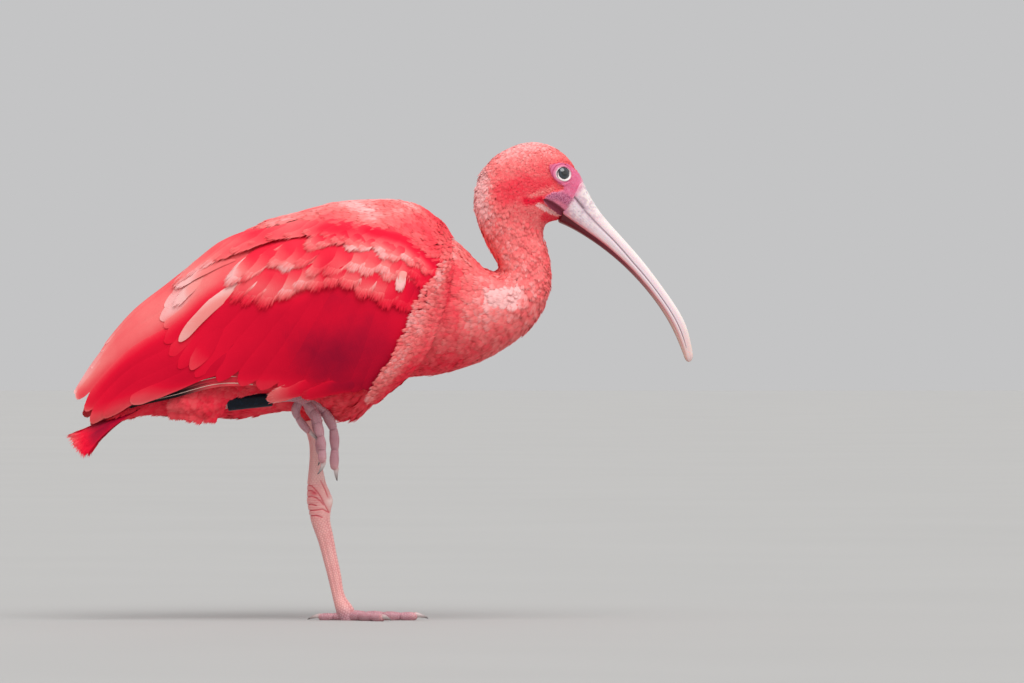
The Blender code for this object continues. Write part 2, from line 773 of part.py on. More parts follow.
def make_toe(foot, name, path, radii, cutters, curl):
    """A toe and its claw. Each of cutters makes a grown piece that the toe is cut clear of."""
    floor = foot == "left"
    rows = toe_rows(path, radii, TOE_PADS[name])
    ends = np.array([row[:3] for row in rows[-2:]])
    way = (ends[1] - ends[0]) / np.linalg.norm(ends[1] - ends[0])
    sideways = np.cross(way, (0.0, 0.0, 1.0)) if floor else np.array([0.0, 1.0, 0.0])
    toe = toe_loft(f"toe_{foot}_{name}", rows, sideways, floor, 0.0)
    for cutter in cutters:
        combine(toe, "DIFFERENCE", [cutter()])
    finish(toe, "leg")
    cutters.append(lambda: toe_loft("toe_grown", rows, sideways, floor, GAP))
    root = claw_rows(ends[1] + way * GAP, way, np.array(curl), radii[1] * CLAW_RADIUS)
    claw = tube_rings(root, CLAW_SIDES, 1, sideways)
    if floor:
        claw = rest_on_floor(claw)
    finish(loft(f"claw_{foot}_{name}", claw), "claw")


def make_standing_leg():
    rings = rest_on_floor(tube_rings(LEG_LEFT, LEG_SIDES, LEG_STEPS))
    knee, ankle = SHIN_FROM * LEG_STEPS, TARSUS_FROM * LEG_STEPS
    thigh = loft("thigh_left", move_ends(rings[: knee + 1], 0, HALF_GAP))
    combine(thigh, "DIFFERENCE", [torso_grown()])
    finish(thigh, "plumage")
    finish(loft("shin_left", move_ends(rings[knee : ankle + 1], HALF_GAP, HALF_GAP)), "leg")
    finish(loft("tarsus_left", move_ends(rings[ankle:], HALF_GAP, 0)), "leg")

    def leg_grown():
        return grown_tube("leg_grown", LEG_LEFT, LEG_STEPS)

    cutters = [leg_grown]
    for name, (length, heading, root, tip) in TOES.items():
        turn = math.radians(heading)
        way = np.array([math.cos(turn), math.sin(turn)])
        path = []
        for share in (0.0, 0.35, 0.7, 1.0):
            radius = root + (tip - root) * share
            spot = way * length * share
            path.append((spot[0] + 0.4, spot[1], radius * TOE_FLAT))
        make_toe("left", name, path, (root, tip), cutters, (0.0, 0.0, -CLAW_DROP))


def band_rows(grow):
    """The part of the raised tarsus that the band goes round, a band wide."""
    table = np.array(TARSUS_RIGHT, float)
    knots = lengths_along(table[:, :3])
    at = np.linspace(BAND_FROM, BAND_TO, 4) * knots[-1]
    rows = through(knots, table, at)
    rows[:, 3:5] = BAND_RADIUS + grow
    return [tuple(row) for row in rows]


def make_raised_leg():
    """The raised leg; what it gives back makes the grown pieces that the torso is cut clear of."""
    leg = loft("tarsus_right", tube_rings(TARSUS_RIGHT, LEG_SIDES, LEG_STEPS))

    def leg_grown():
        return grown_tube("leg_grown", TARSUS_RIGHT, LEG_STEPS)

    cutters = [leg_grown]
    for name, (side_view, y, curl) in HANGING_TOES.items():
        path = [
            (x, -24.0 + (y + 24.0) * min(1.0, i / 2), z) for i, (x, z) in enumerate(side_view)
        ]
        make_toe("right", name, path, TOES[name][2:], cutters, (curl, 0.0, 0.0))
    band = loft("leg_band", tube_rings(band_rows(0.0), LEG_SIDES + 4, 1))
    combine(band, "DIFFERENCE", [leg_grown()])
    finish(band, "band")
    finish(leg, "leg")

    def band_grown():
        rings = tube_rings(band_rows(GAP), LEG_SIDES + 4, 1)
        return loft("band_grown", move_ends(rings, -GAP, -GAP))

    return cutters + [band_grown]


def vane(name, at, half_width, thick):
    """A feather's vane: at gives the place for a share of its length, a sideways and an upward step."""
    rings = []
    for share, width in zip(VANE_SHARES, VANE_WIDTHS):
        wide = half_width * width
        ridge = EDGE_THICKNESS + (thick - EDGE_THICKNESS) * (1 - share) ** 0.5
        ring = [at(share, -wide, -EDGE_THICKNESS), at(share, -wide, 0.0), at(share, 0.0, ridge)]
        ring += [at(share, wide, 0.0), at(share, wide, -EDGE_THICKNESS)]
        rings.append(ring)
    return loft(name, rings)


class WingSurface:
    """The folded wing's outer surface: places by x and by the way round from the back's middle."""

    def __init__(self):
        table = np.array(WING_SECTIONS, float)
        self.knots = -table[:, 0]
        self.table = table[:, 1:]

    def outline(self, x):
        """Half the section at x, from the top of the back down and in: y, z, way round."""
        top, wide, low, half = through(self.knots, self.table, np.array([-x]))[0]
        turns = np.linspace(0, math.pi, SECTION_POINTS)
        y = np.empty(SECTION_POINTS)
        z = np.empty(SECTION_POINTS)
        for i, turn in enumerate(turns):
            upper = turn < math.pi / 2
            full = WING_TOP_FULLNESS if upper else WING_LOW_FULLNESS
            reach = top - wide if upper else wide - low
            y[i] = half * power(max(math.sin(turn), 0.0), full)
            z[i] = wide + reach * power(math.cos(turn), full)
        way = np.concatenate([[0], np.cumsum(np.hypot(np.diff(y), np.diff(z)))])
        return y, z, way

    def round_at(self, x, z):
        """How far round the section at x the height z lies."""
        _, heights, way = self.outline(x)
        return float(np.interp(-z, -heights, way))

    def place(self, x, way_round):
        """The place in space; below nothing the way round goes on over the other side's back."""
        y, z, way = self.outline(x)
        there = abs(way_round)
        side = math.copysign(1.0, way_round)
        return np.array([x, side * np.interp(there, way, y), np.interp(there, way, z)])

    def frame(self, x, way_round):
        """The place and the outward normal there."""
        here = self.place(x, way_round)
        step = 1.5
        along = self.place(x + step, way_round) - self.place(x - step, way_round)
        around = self.place(x, way_round + step) - self.place(x, way_round - step)
        normal = np.cross(along, around)
        return here, normal / np.linalg.norm(normal)


def mirrored(points, side):
    return [(p[0], side * p[1], p[2]) for p in points]


def wing_core(name, surface, side):
    """The flesh and down of the folded wing, under its feathers."""
    xs = np.linspace(WING_SECTIONS[0][0], CORE_REAR, WING_COLUMNS)
    outer, inner = [], []
    for x in xs:
        edge = surface.round_at(x, value_at(WING_EDGE, x)) - CORE_EDGE_IN
        depth = value_at(WING_DEPTH, x)
        under = value_at(CORE_UNDER, x)
        for share in np.linspace(0, 1, WING_ROWS):
            here, normal = surface.frame(x, edge * share)
            thin = (depth - under) * (1 - EDGE_THINNING * share**4)
            outer.append(here - normal * under)
            inner.append(here - normal * (under + thin))
    return plate(name, mirrored(outer + inner, side), WING_COLUMNS, WING_ROWS)


def plate(name, points, columns, rows):
    """A closed plate from the points of its outer face, column by column, then of its inner face."""
    back = rows * columns
    faces = []
    for i in range(columns - 1):
        for j in range(rows - 1):
            quad = (i * rows + j, (i + 1) * rows + j, (i + 1) * rows + j + 1, i * rows + j + 1)
            faces += split_alike(quad, back)
    last = (columns - 1) * rows
    rim = (
        [(i * rows, (i + 1) * rows) for i in range(columns - 1)]
        + [(i * rows + rows - 1, (i + 1) * rows + rows - 1) for i in range(columns - 1)]
        + [(j, j + 1) for j in range(rows - 1)]
        + [(last + j, last + j + 1) for j in range(rows - 1)]
    )
    faces += [(a, b, b + back, a + back) for a, b in rim]
    return solid(name, points, faces)


def wing_vanes(surface, side):
    """The wing's feathers, tier by tier, laid on the outer surface and rooted in the core."""
    rng = np.random.default_rng(SEED)
    made = []
    for tier, keys, count, tip_height, thick in WING_TIERS:
        rows = through(np.arange(len(keys)), np.array(keys), np.linspace(0, len(keys) - 1, count))
        for i, (root_x, root_z, tip_x, tip_z, width) in enumerate(rows):
            root = np.array([root_x, surface.round_at(root_x, root_z)])
            tip = np.array([tip_x, surface.round_at(tip_x, tip_z)])
            tip += (tip - root) * rng.uniform(-VARY, 0)
            along = (tip - root) / np.linalg.norm(tip - root)
            over = np.array([along[1], -along[0]])
            low = -value_at(CORE_UNDER, root_x) - ROOT_SINK - thick

            def at(share, sideways, up, root=root, tip=tip, over=over, low=low, width=width, top=tip_height):
                spot = root + (tip - root) * share + over * sideways
                here, normal = surface.frame(spot[0], spot[1])
                height = low + (top - low) * min(1.0, share * 1.6)
                return here + normal * (height + up + LATERAL_TILT * 2 * sideways / width)

            piece = vane(f"{tier}_{i}", at, width / 2 * (1 + rng.uniform(-VARY, VARY)), thick)
            if side < 0:
                mirror_object(piece)
            made.append(piece)
    return made


def mirror_object(obj):
    """Turns a mesh into its mirror image across the bird's middle plane."""
    work = bmesh.new()
    work.from_mesh(obj.data)
    for vert in work.verts:
        vert.co.y = -vert.co.y
    bmesh.ops.reverse_faces(work, faces=work.faces[:])
    work.to_mesh(obj.data)
    work.free()


def split_alike(quad, back):
    """A quad and its twin on the other face, split along the same diagonal."""
    a, b, c, d = quad
    front = [(a, b, c), (a, c, d)]
    return front + [(p + back, r + back, q + back) for p, q, r in front]


def middle_cutter():
    """A thin slab in the bird's middle plane that reaches past the other side."""
    low, high = -EVERY, HALF_GAP
    points = [(x, y, z) for x in (-EVERY, EVERY) for y in (low, high) for z in (-EVERY, EVERY)]
    faces = [(0, 1, 3, 2), (4, 6, 7, 5), (0, 4, 5, 1), (2, 3, 7, 6), (0, 2, 6, 4), (1, 5, 7, 3)]
    return points, faces


def make_wings():
    surface = WingSurface()
    for name, side in (("wing_right", -1), ("wing_left", 1)):
        wing = wing_core(name, surface, side)
        combine(wing, "UNION", wing_vanes(surface, side))
        points, faces = middle_cutter()
        cutters = [
            solid("middle_cutter", mirrored(points, side), faces),
            torso_grown(),
            tail_envelope(),
            body_piece("tail_core_grown", TAIL_SECTIONS, -GAP, -GAP, GAP),
        ]
        for cutter in cutters:
            combine(wing, "DIFFERENCE", [cutter])
        finish(wing, "plumage")


def tail_place(share, reach, sideways, up):
    """A place on the arched fan: share is -1 at its right edge and 1 at its left."""
    droop, turn = math.radians(TAIL_DROOP), math.radians(TAIL_SPREAD) * share
    along = np.array([-math.cos(droop), 0.0, -math.sin(droop)])
    lift = np.array([-math.sin(droop), 0.0, math.cos(droop)])
    root = np.array([TAIL_ROOT[0], 0.0, TAIL_ROOT[1]])
    slope = -2 * TAIL_ARCH * share / (TAIL_BASE + TAIL_LENGTH * math.sin(math.radians(TAIL_SPREAD)))
    sunk = TAIL_ARCH * share**2 * reach / TAIL_LENGTH
    across = np.array([0.0, TAIL_BASE * share + reach * math.sin(turn) + sideways, 0.0])
    sideways_lift = slope * sideways * reach / TAIL_LENGTH
    return root + along * reach * math.cos(turn) + across + lift * (up - sunk + sideways_lift)


def tail_envelope():
    """A plate round all the tail's feathers, to cut clear what lies on them."""
    columns, rows = 7, 5
    faces = []
    for up in (TAIL_ENVELOPE, -TAIL_ENVELOPE):
        for share in np.linspace(-1, 1, columns):
            for reach in np.linspace(-2, TAIL_LENGTH + 2, rows):
                faces.append(tail_place(share, reach, share * TAIL_WIDTH / 2 + share, up))
    return plate("tail_envelope", faces, columns, rows)


def tail_vanes():
    made = []
    rng = np.random.default_rng(SEED)
    for i, share in enumerate(np.linspace(-1, 1, RECTRICES)):
        length = TAIL_LENGTH * (1 + rng.uniform(-VARY, VARY))
        rank = abs(i - (RECTRICES - 1) / 2)

        def at(part, sideways, up, share=share, length=length, rank=rank):
            lean = LATERAL_TILT * 2 * sideways / TAIL_WIDTH * math.copysign(1, share)
            under = TAIL_LAYER * (rank - RECTRICES / 4)
            return tail_place(share, length * part, sideways, up + lean - under)

        made.append(vane(f"rectrix_{i}", at, TAIL_WIDTH / 2, TAIL_THICKNESS))
    return made


def make_body(cutters):
    finish(body_piece("neck", NECK_SECTIONS, HALF_GAP, HALF_GAP), "plumage")
    torso = body_piece("torso", TORSO_SECTIONS, HALF_GAP, HALF_GAP)
    for cutter in cutters:
        combine(torso, "DIFFERENCE", [cutter()])
    finish(torso, "plumage")
    tail = body_piece("tail", TAIL_SECTIONS, HALF_GAP, 0)
    combine(tail, "UNION", tail_vanes())
    finish(tail, "plumage")


clear_scene()
make_body(make_raised_leg())
make_head()
make_bill()
make_wings()
make_standing_leg()
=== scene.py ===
"""Looks of a life-size scarlet ibis that stands on its left leg with the right one drawn up.

+X is forward, towards the bill, +Y the bird's left and +Z up, with the floor at z = 0.
Sizes are millimetres, and MM turns them into metres at each mesh. Side-view places are (x, z).
"""

import json
import math

import bmesh
import bpy
import numpy as np
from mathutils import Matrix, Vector

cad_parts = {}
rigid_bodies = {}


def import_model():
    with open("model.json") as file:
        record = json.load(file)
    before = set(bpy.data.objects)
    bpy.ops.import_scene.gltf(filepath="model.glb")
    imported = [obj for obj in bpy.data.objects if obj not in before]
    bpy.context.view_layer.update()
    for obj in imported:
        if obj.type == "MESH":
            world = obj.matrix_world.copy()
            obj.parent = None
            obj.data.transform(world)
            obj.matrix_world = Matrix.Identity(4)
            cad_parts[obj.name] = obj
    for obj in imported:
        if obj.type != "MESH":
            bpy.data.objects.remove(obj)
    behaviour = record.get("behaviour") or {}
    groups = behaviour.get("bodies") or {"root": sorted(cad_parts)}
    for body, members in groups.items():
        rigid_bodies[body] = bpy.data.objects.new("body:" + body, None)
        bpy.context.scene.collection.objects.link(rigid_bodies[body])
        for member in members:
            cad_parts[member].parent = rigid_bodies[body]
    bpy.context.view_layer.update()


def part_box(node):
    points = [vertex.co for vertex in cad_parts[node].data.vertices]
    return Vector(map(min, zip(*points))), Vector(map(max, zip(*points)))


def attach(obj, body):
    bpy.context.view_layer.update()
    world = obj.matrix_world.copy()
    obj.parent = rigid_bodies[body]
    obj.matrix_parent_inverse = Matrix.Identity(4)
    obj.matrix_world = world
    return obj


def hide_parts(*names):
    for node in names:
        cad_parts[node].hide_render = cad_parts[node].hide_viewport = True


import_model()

MM = 0.001
SEED = 7
PATCH = 0.003  # how wide one tuft is on the unwrap that its colours are baked through
SIZE_SPREAD = 0.18  # how far a tuft's size strays from its coat's

# Sections of the plumed body from bill root to tail root, across the spine in side view:
# back x, back z, front x, front z, half width, fullness (2 is an ellipse).
BODY_SECTIONS = (
    (176.2, 329.2, 158.2, 298.1, 9.6, 2), (169.5, 342.4, 154.5, 297.4, 13.4, 2.1),
    (160.5, 352, 151, 296, 16, 2.2), (147, 358.2, 149.5, 294, 18.2, 2.2),
    (128, 357.6, 149, 292, 19.8, 2.1), (109.5, 347.2, 149, 290, 20.4, 2),
    (97.5, 330, 149.2, 286.5, 20, 2), (94.6, 311, 149.8, 282.6, 19.6, 2),
    (96.6, 297, 151.2, 277.6, 19.8, 2), (101.4, 284, 153, 269, 20.6, 2),
    (107.4, 272.5, 153.6, 255.5, 22, 2), (110.8, 264.6, 150.4, 239, 24.6, 2.1),
    (104, 265.8, 141, 222, 29.5, 2.1), (93.5, 275, 125.5, 207.6, 35.5, 2.2),
    (80, 286.5, 104, 194.6, 42, 2.2), (62, 297, 74, 184.4, 49.5, 2.2), (46, 302, 52, 181.5, 53.5, 2.2),
    (32, 304, 35, 178, 54.5, 2.2), (19, 304.5, 20, 162, 54.5, 2.2), (8, 304.2, 8, 151.5, 53.5, 2.2),
    (-6, 302.5, -7, 149.5, 52, 2.2), (-32, 295, -34, 155.5, 47, 2.2), (-60, 283, -62, 153, 40.5, 2.2),
    (-88, 266, -90, 150.5, 33, 2.2), (-112, 242, -113, 153, 26, 2.1), (-132, 213, -132, 152.5, 21, 2.1),
    (-144, 190, -144, 152.5, 19, 2.2), (-156, 174.5, -156, 151.5, 17.5, 2.4),
    (-168, 164.5, -170, 149, 16, 2.6),
)
BODY_ROWS = 520
BODY_COLUMNS = 256

# The folded wing's outer surface: x, top z, widest z, lowest z, half width.
WING_SECTIONS = (
    (84, 286.5, 240, 178, 43.8), (61.5, 306.7, 240, 172, 54), (39, 315, 239, 164, 58.5),
    (16.5, 315.8, 236, 154, 60.5), (-6, 314.2, 232, 148, 60), (-36, 307.1, 226, 148, 56),
    (-66, 299.2, 218, 147, 50), (-96, 286.5, 208, 146, 43), (-118.5, 269.6, 198, 147, 37),
    (-141, 251.5, 187, 148, 31), (-163.5, 233.5, 177, 146, 25), (-182.2, 212, 168, 142, 19),
    (-195, 195, 162, 142, 14), (-206.2, 177.5, 168, 163, 8.5),
)
WING_TOP_FULLNESS = 2.2
WING_LOW_FULLNESS = 3.0
WING_FRONT = 96.0  # where the wing's grid starts; it runs back in steps of a millimetre
WING_REAR = -216.0
WING_OVER = 40  # how far the grid reaches over the back's middle
WING_ROUND = 230  # how far round it reaches
# The wing's front and lower edge in side view.
WING_EDGE = (
    (84, 277), (70.5, 259.5), (56, 241), (45.5, 220), (34.5, 198), (24, 181), (14, 168), (-2, 166.5),
    (-36, 170), (-66, 171.5), (-96, 168), (-126, 165.5), (-156, 161.5), (-178, 151), (-190, 147),
    (-195, 150), (-201, 156), (-206.2, 167),
)


def lengths_along(points):
    """How far along a line of points each one lies."""
    return np.concatenate([[0], np.cumsum(np.linalg.norm(np.diff(points, axis=0), axis=1))])


def through(knots, table, at):
    """The natural cubic spline through table at knots, read at the places in at."""
    knots = np.asarray(knots, float)
    table = np.asarray(table, float)
    count = len(knots)
    widths = np.diff(knots)
    system = np.eye(count)
    right = np.zeros_like(table)
    for i in range(1, count - 1):
        system[i, i - 1 : i + 2] = (widths[i - 1], 2 * (widths[i - 1] + widths[i]), widths[i])
        slopes = (table[i + 1] - table[i]) / widths[i] - (table[i] - table[i - 1]) / widths[i - 1]
        right[i] = 6 * slopes
    bends = np.linalg.solve(system, right)
    span = np.clip(np.searchsorted(knots, at, side="right") - 1, 0, count - 2)
    width = widths[span]
    left = (knots[span + 1] - at) / width
    after = 1 - left
    if table.ndim > 1:
        left, after, width = left[:, None], after[:, None], width[:, None]
    curve = ((left**3 - left) * bends[span] + (after**3 - after) * bends[span + 1]) * width**2 / 6
    return left * table[span] + after * table[span + 1] + curve


def read_line(rows, shares):
    """A smooth line of points, and what else its rows hold, read at shares of its length."""
    table = np.array(rows, float)
    knots = lengths_along(table[:, :3])
    return through(knots, table, np.asarray(shares) * knots[-1])


def value_at(rows, x):
    """The height of a side-view line at x, from rows of x and height that run backwards."""
    table = np.array(rows, float)
    x = np.asarray(x, float)
    return through(-table[:, 0], table[:, 1], -x.ravel()).reshape(x.shape)


def power(value, fullness):
    return np.sign(value) * np.abs(value) ** (2 / fullness)


def unit(vectors):
    return vectors / np.maximum(np.linalg.norm(vectors, axis=-1, keepdims=True), 1e-9)


def joined(*parts):
    """Points from their coordinates, which may be whole grids, rows, columns or single numbers."""
    return np.stack(np.broadcast_arrays(*parts), -1)


def smooth(low, high, value):
    """0 below low, 1 above high and a soft step between; low may be the larger."""
    share = np.clip((value - low) / (high - low), 0, 1)
    return share * share * (3 - 2 * share)


def peak(away, width):
    """1 where away is 0, falling softly to nothing past width."""
    return np.exp(-((away / width) ** 2))


def distance_to(path, x, z):
    """How far side-view places lie from a line of points, and how far along it the nearest is."""
    path = np.array(path, float)
    starts = lengths_along(path)
    spots = joined(np.asarray(x, float), np.asarray(z, float))
    best = np.full(spots.shape[:-1], 1e9)
    along = np.zeros(spots.shape[:-1])
    for a, b, start in zip(path, path[1:], starts):
        way = b - a
        share = np.clip(((spots - a) @ way) / (way @ way), 0, 1)
        far = np.linalg.norm(spots - (a + share[..., None] * way), axis=-1)
        nearer = far < best
        best = np.where(nearer, far, best)
        along = np.where(nearer, start + share * np.linalg.norm(way), along)
    return best, along


def inside(outline, x, z):
    """Whether side-view places lie inside a closed outline."""
    within = np.zeros(np.shape(x), bool)
    last = outline[-1]
    for here in outline:
        crosses = (here[1] > z) != (last[1] > z)
        rise = np.where(crosses, last[1] - here[1], 1.0)
        edge = here[0] + (z - here[1]) / rise * (last[0] - here[0])
        within ^= crosses & (x < edge)
        last = here
    return within


def waves(points, size, seed, count=10):
    """A smooth random field of about -1 to 1 over points, its features about size wide."""
    rng = np.random.default_rng(seed)
    total = np.zeros(points.shape[:-1])
    for _ in range(count):
        way = rng.normal(size=3)
        way *= rng.uniform(0.6, 1.5) * math.pi / (size * np.linalg.norm(way))
        total += np.sin(points @ way + rng.uniform(0, math.tau))
    return total / math.sqrt(count / 2) / 1.6


class Surface:
    """A surface read between the points of a fine grid of rows and columns."""

    def __init__(self, points, closed):
        self.points = points
        self.closed = closed
        ahead = np.gradient(points, axis=0)
        if closed:
            over = (np.roll(points, -1, axis=1) - np.roll(points, 1, axis=1)) / 2
        else:
            over = np.gradient(points, axis=1)
        self.ahead = ahead
        self.over = over
        self.normals = unit(np.cross(over, ahead))

    def read(self, grid, row, column):
        rows, columns = grid.shape[:2]
        row = np.clip(row, 0, rows - 1.001)
        low = np.floor(row).astype(int)
        if not self.closed:
            column = np.clip(column, 0, columns - 1.001)
        left = np.floor(column).astype(int)
        down = (row - low)[..., None]
        across = (column - left)[..., None]
        right = (left + 1) % columns
        left = left % columns
        upper = grid[low, left] * (1 - across) + grid[low, right] * across
        lower = grid[low + 1, left] * (1 - across) + grid[low + 1, right] * across
        return upper * (1 - down) + lower * down

    def at(self, row, column, lift=0.0):
        lift = np.asarray(lift, float)[..., None]
        return self.read(self.points, row, column) + self.read(self.normals, row, column) * lift


def body_surface():
    """The plumed body's outer surface from bill root to tail root; the first column is the back."""
    table = np.array(BODY_SECTIONS)
    knots = lengths_along((table[:, 0:2] + table[:, 2:4]) / 2)
    rows = through(knots, table, np.linspace(0, knots[-1], BODY_ROWS))
    turns = math.tau * np.arange(BODY_COLUMNS) / BODY_COLUMNS
    back, front, half, full = rows[:, 0:2], rows[:, 2:4], rows[:, 4:5], rows[:, 5:6]
    middle = (back + front) / 2
    reach = (back - front) / 2
    along = power(np.cos(turns)[None], full)
    side = power(np.sin(turns)[None], full) * half
    x = middle[:, 0:1] + reach[:, 0:1] * along
    z = middle[:, 1:2] + reach[:, 1:2] * along
    return Surface(joined(x, side, z), True)


class Wing(Surface):
    """The folded left wing's outer surface by x and by the way round from the back's middle."""

    def __init__(self):
        table = np.array(WING_SECTIONS)
        xs = np.arange(WING_FRONT, WING_REAR, -1.0)
        rows = through(-table[:, 0], table[:, 1:], -np.clip(xs, -212, 90))
        turns = np.linspace(0, math.pi, 120)
        ways = np.arange(-WING_OVER, WING_ROUND, 1.0)
        grid = np.empty((len(xs), len(ways), 3))
        self.heights = []
        for i, (x, (top, wide, low, half)) in enumerate(zip(xs, rows)):
            upper = turns < math.pi / 2
            full = np.where(upper, WING_TOP_FULLNESS, WING_LOW_FULLNESS)
            y = half * power(np.sin(turns), full)
            reach = np.where(upper, top - wide, wide - low)
            z = wide + reach * power(np.cos(turns), full)
            way = np.concatenate([[0], np.cumsum(np.hypot(np.diff(y), np.diff(z)))])
            there = np.abs(ways)
            across = np.sign(ways) * np.interp(there, way, y)
            grid[i] = joined(np.full(len(ways), x), across, np.interp(there, way, z))
            self.heights.append((z, way))
        super().__init__(grid, False)

    def round_at(self, x, z):
        """How far round the section at x the height z lies."""
        row = int(np.clip(round(WING_FRONT - x), 0, len(self.heights) - 1))
        heights, way = self.heights[row]
        return float(np.interp(-z, -heights, way))

    def place(self, x, way, lift=0.0):
        return self.at(WING_FRONT - np.asarray(x), np.asarray(way) + WING_OVER, lift)


def linear(colour):
    """A colour of 0 to 255 as light."""
    share = np.array(colour, float) / 255
    return tuple(np.where(share <= 0.04045, share / 12.92, ((share + 0.055) / 1.055) ** 2.4))


class Tree:
    """Short calls for a material's or a geometry's nodes."""

    def __init__(self, tree):
        self.tree = tree

    def node(self, kind, inputs=None, **settings):
        made = self.tree.nodes.new(kind)
        for name, value in settings.items():
            setattr(made, name, value)
        for name, value in (inputs or {}).items():
            self.join(value, self.socket(made, name))
        return made

    def join(self, value, socket):
        """Gives an input another node's output or a plain value."""
        if isinstance(value, bpy.types.NodeSocket):
            self.tree.links.new(value, socket)
        else:
            socket.default_value = value

    def socket(self, node, name):
        """The shown input of that name, or of that number."""
        if isinstance(name, int):
            return node.inputs[name]
        return next(s for s in node.inputs if s.name == name and s.enabled)

    def out(self, node, name=None):
        shown = [s for s in node.outputs if s.enabled]
        return shown[0] if name is None else next(s for s in shown if s.name == name)

    def math(self, operation, *values):
        return self.node("ShaderNodeMath", dict(enumerate(values)), operation=operation).outputs[0]

    def times(self, first, second):
        return self.math("MULTIPLY", first, second)

    def rest(self, share):
        return self.math("SUBTRACT", 1.0, share)

    def attribute(self, name):
        return self.node("ShaderNodeAttribute", attribute_name=name).outputs["Fac"]

    def noise(self, size, detail=2.0, vector=None):
        """Noise over the object's own coordinates, its features about size millimetres wide."""
        if vector is None:
            vector = self.node("ShaderNodeTexCoord").outputs["Object"]
        values = {"Vector": vector, "Scale": 1 / (size * MM), "Detail": detail}
        return self.node("ShaderNodeTexNoise", values).outputs["Fac"]

    def ramp(self, factor, stops):
        made = self.node("ShaderNodeValToRGB", {"Fac": factor})
        elements = made.color_ramp.elements
        while len(elements) < len(stops):
            elements.new(1.0)
        for element, (place, colour) in zip(elements, stops):
            element.position = place
            element.color = (*linear(colour), 1.0)
        return made.outputs["Color"]

    def mix(self, factor, first, second):
        colours = [(*linear(c), 1.0) if isinstance(c, tuple) else c for c in (first, second)]
        inputs = {0: factor, 6: colours[0], 7: colours[1]}
        return self.node("ShaderNodeMix", inputs, data_type="RGBA", clamp_factor=True).outputs[2]

    def paint(self, colour, height=None, strength=0.3, deep=0.0003):
        """Gives the shader its colour and, from a height, its bumps."""
        shader = self.tree.nodes["Principled BSDF"]
        self.join(colour, shader.inputs["Base Color"])
        if height is not None:
            bump = self.node("ShaderNodeBump", {"Height": height, "Strength": strength, "Distance": deep})
            self.join(bump.outputs[0], shader.inputs["Normal"])


def new_material(name, roughness, **constants):
    """A material's tree and its shader, with what is the same all over set on the shader."""
    made = bpy.data.materials.new(name)
    made.use_nodes = True
    shader = made.node_tree.nodes["Principled BSDF"]
    shader.inputs["Roughness"].default_value = roughness
    for key, value in constants.items():
        shader.inputs[key.replace("_", " ")].default_value = value
    return made, Tree(made.node_tree), shader


# Plumage colours by tone, from the deep crimson of the wing to the palest pink tips.
PLUMAGE = (
    (0, (146, 0, 42)), (0.2, (214, 0, 44)), (0.4, (238, 8, 50)), (0.55, (243, 44, 66)),
    (0.7, (246, 84, 92)), (0.85, (249, 124, 122)), (1, (252, 186, 184)),
)


def plumage_material(name, barbs=0.0, tip=0.12, mottle=0.16, vary=0.1):
    """Feathers: tone sets the colour, paler to the tip, and barbs draws the vane's fine lines."""
    made, tree, _ = new_material(name, 0.6, Specular_IOR_Level=0.12)
    tone = tree.attribute("tone")
    shade = tree.math("MULTIPLY_ADD", tree.attribute("shade"), vary, -vary / 2)
    along = tree.times(tree.attribute("along"), tip)
    patches = tree.math("MULTIPLY_ADD", tree.noise(9, 3), mottle, -mottle / 2)
    total = tree.math("ADD", tree.math("ADD", tone, shade), tree.math("ADD", along, patches))
    height = None
    if barbs:
        apart = tree.math("MULTIPLY_ADD", tree.attribute("shade"), 50.0, tree.attribute("barb"))
        line = tree.node("ShaderNodeCombineXYZ", {"X": apart}).outputs[0]
        streak = tree.noise(1 / (1.1 * MM), 2, line)
        total = tree.math("ADD", total, tree.math("MULTIPLY_ADD", streak, barbs, -barbs / 2))
        height = tree.noise(1 / (2.2 * MM), 1, line)
    dark = tree.mix(tree.attribute("dark"), tree.ramp(total, PLUMAGE), (26, 16, 20))
    tree.paint(tree.mix(tree.attribute("white"), dark, (236, 196, 182)), height, 0.25)
    return made


def mesh_object(name, points, faces):
    """An object from points in millimetres, at the origin."""
    mesh = bpy.data.meshes.new(name)
    mesh.from_pydata((np.asarray(points, float).reshape(-1, 3) * MM).tolist(), [], faces)
    mesh.shade_smooth()
    obj = bpy.data.objects.new(name, mesh)
    bpy.context.scene.collection.objects.link(obj)
    return obj


def put(obj, name, values):
    """Writes one value, or one vector, at each point of a mesh."""
    flat = np.ascontiguousarray(values, np.float32).ravel()
    vector = len(flat) == 3 * len(obj.data.vertices)
    held = obj.data.attributes.new(name, "FLOAT_VECTOR" if vector else "FLOAT", "POINT")
    held.data.foreach_set("vector" if vector else "value", flat)


def outwards(obj):
    """Turns all faces of a closed mesh outwards."""
    work = bmesh.new()
    work.from_mesh(obj.data)
    bmesh.ops.recalc_face_normals(work, faces=work.faces[:])
    if work.calc_volume(signed=True) < 0:
        bmesh.ops.reverse_faces(work, faces=work.faces[:])
    work.to_mesh(obj.data)
    work.free()


def solid(name, points, faces, sharp=None):
    """A closed object, its faces outwards, its edges sharp past that angle in degrees."""
    made = mesh_object(name, points, faces)
    outwards(made)
    if sharp:
        made.data.set_sharp_from_angle(angle=math.radians(sharp))
    return made


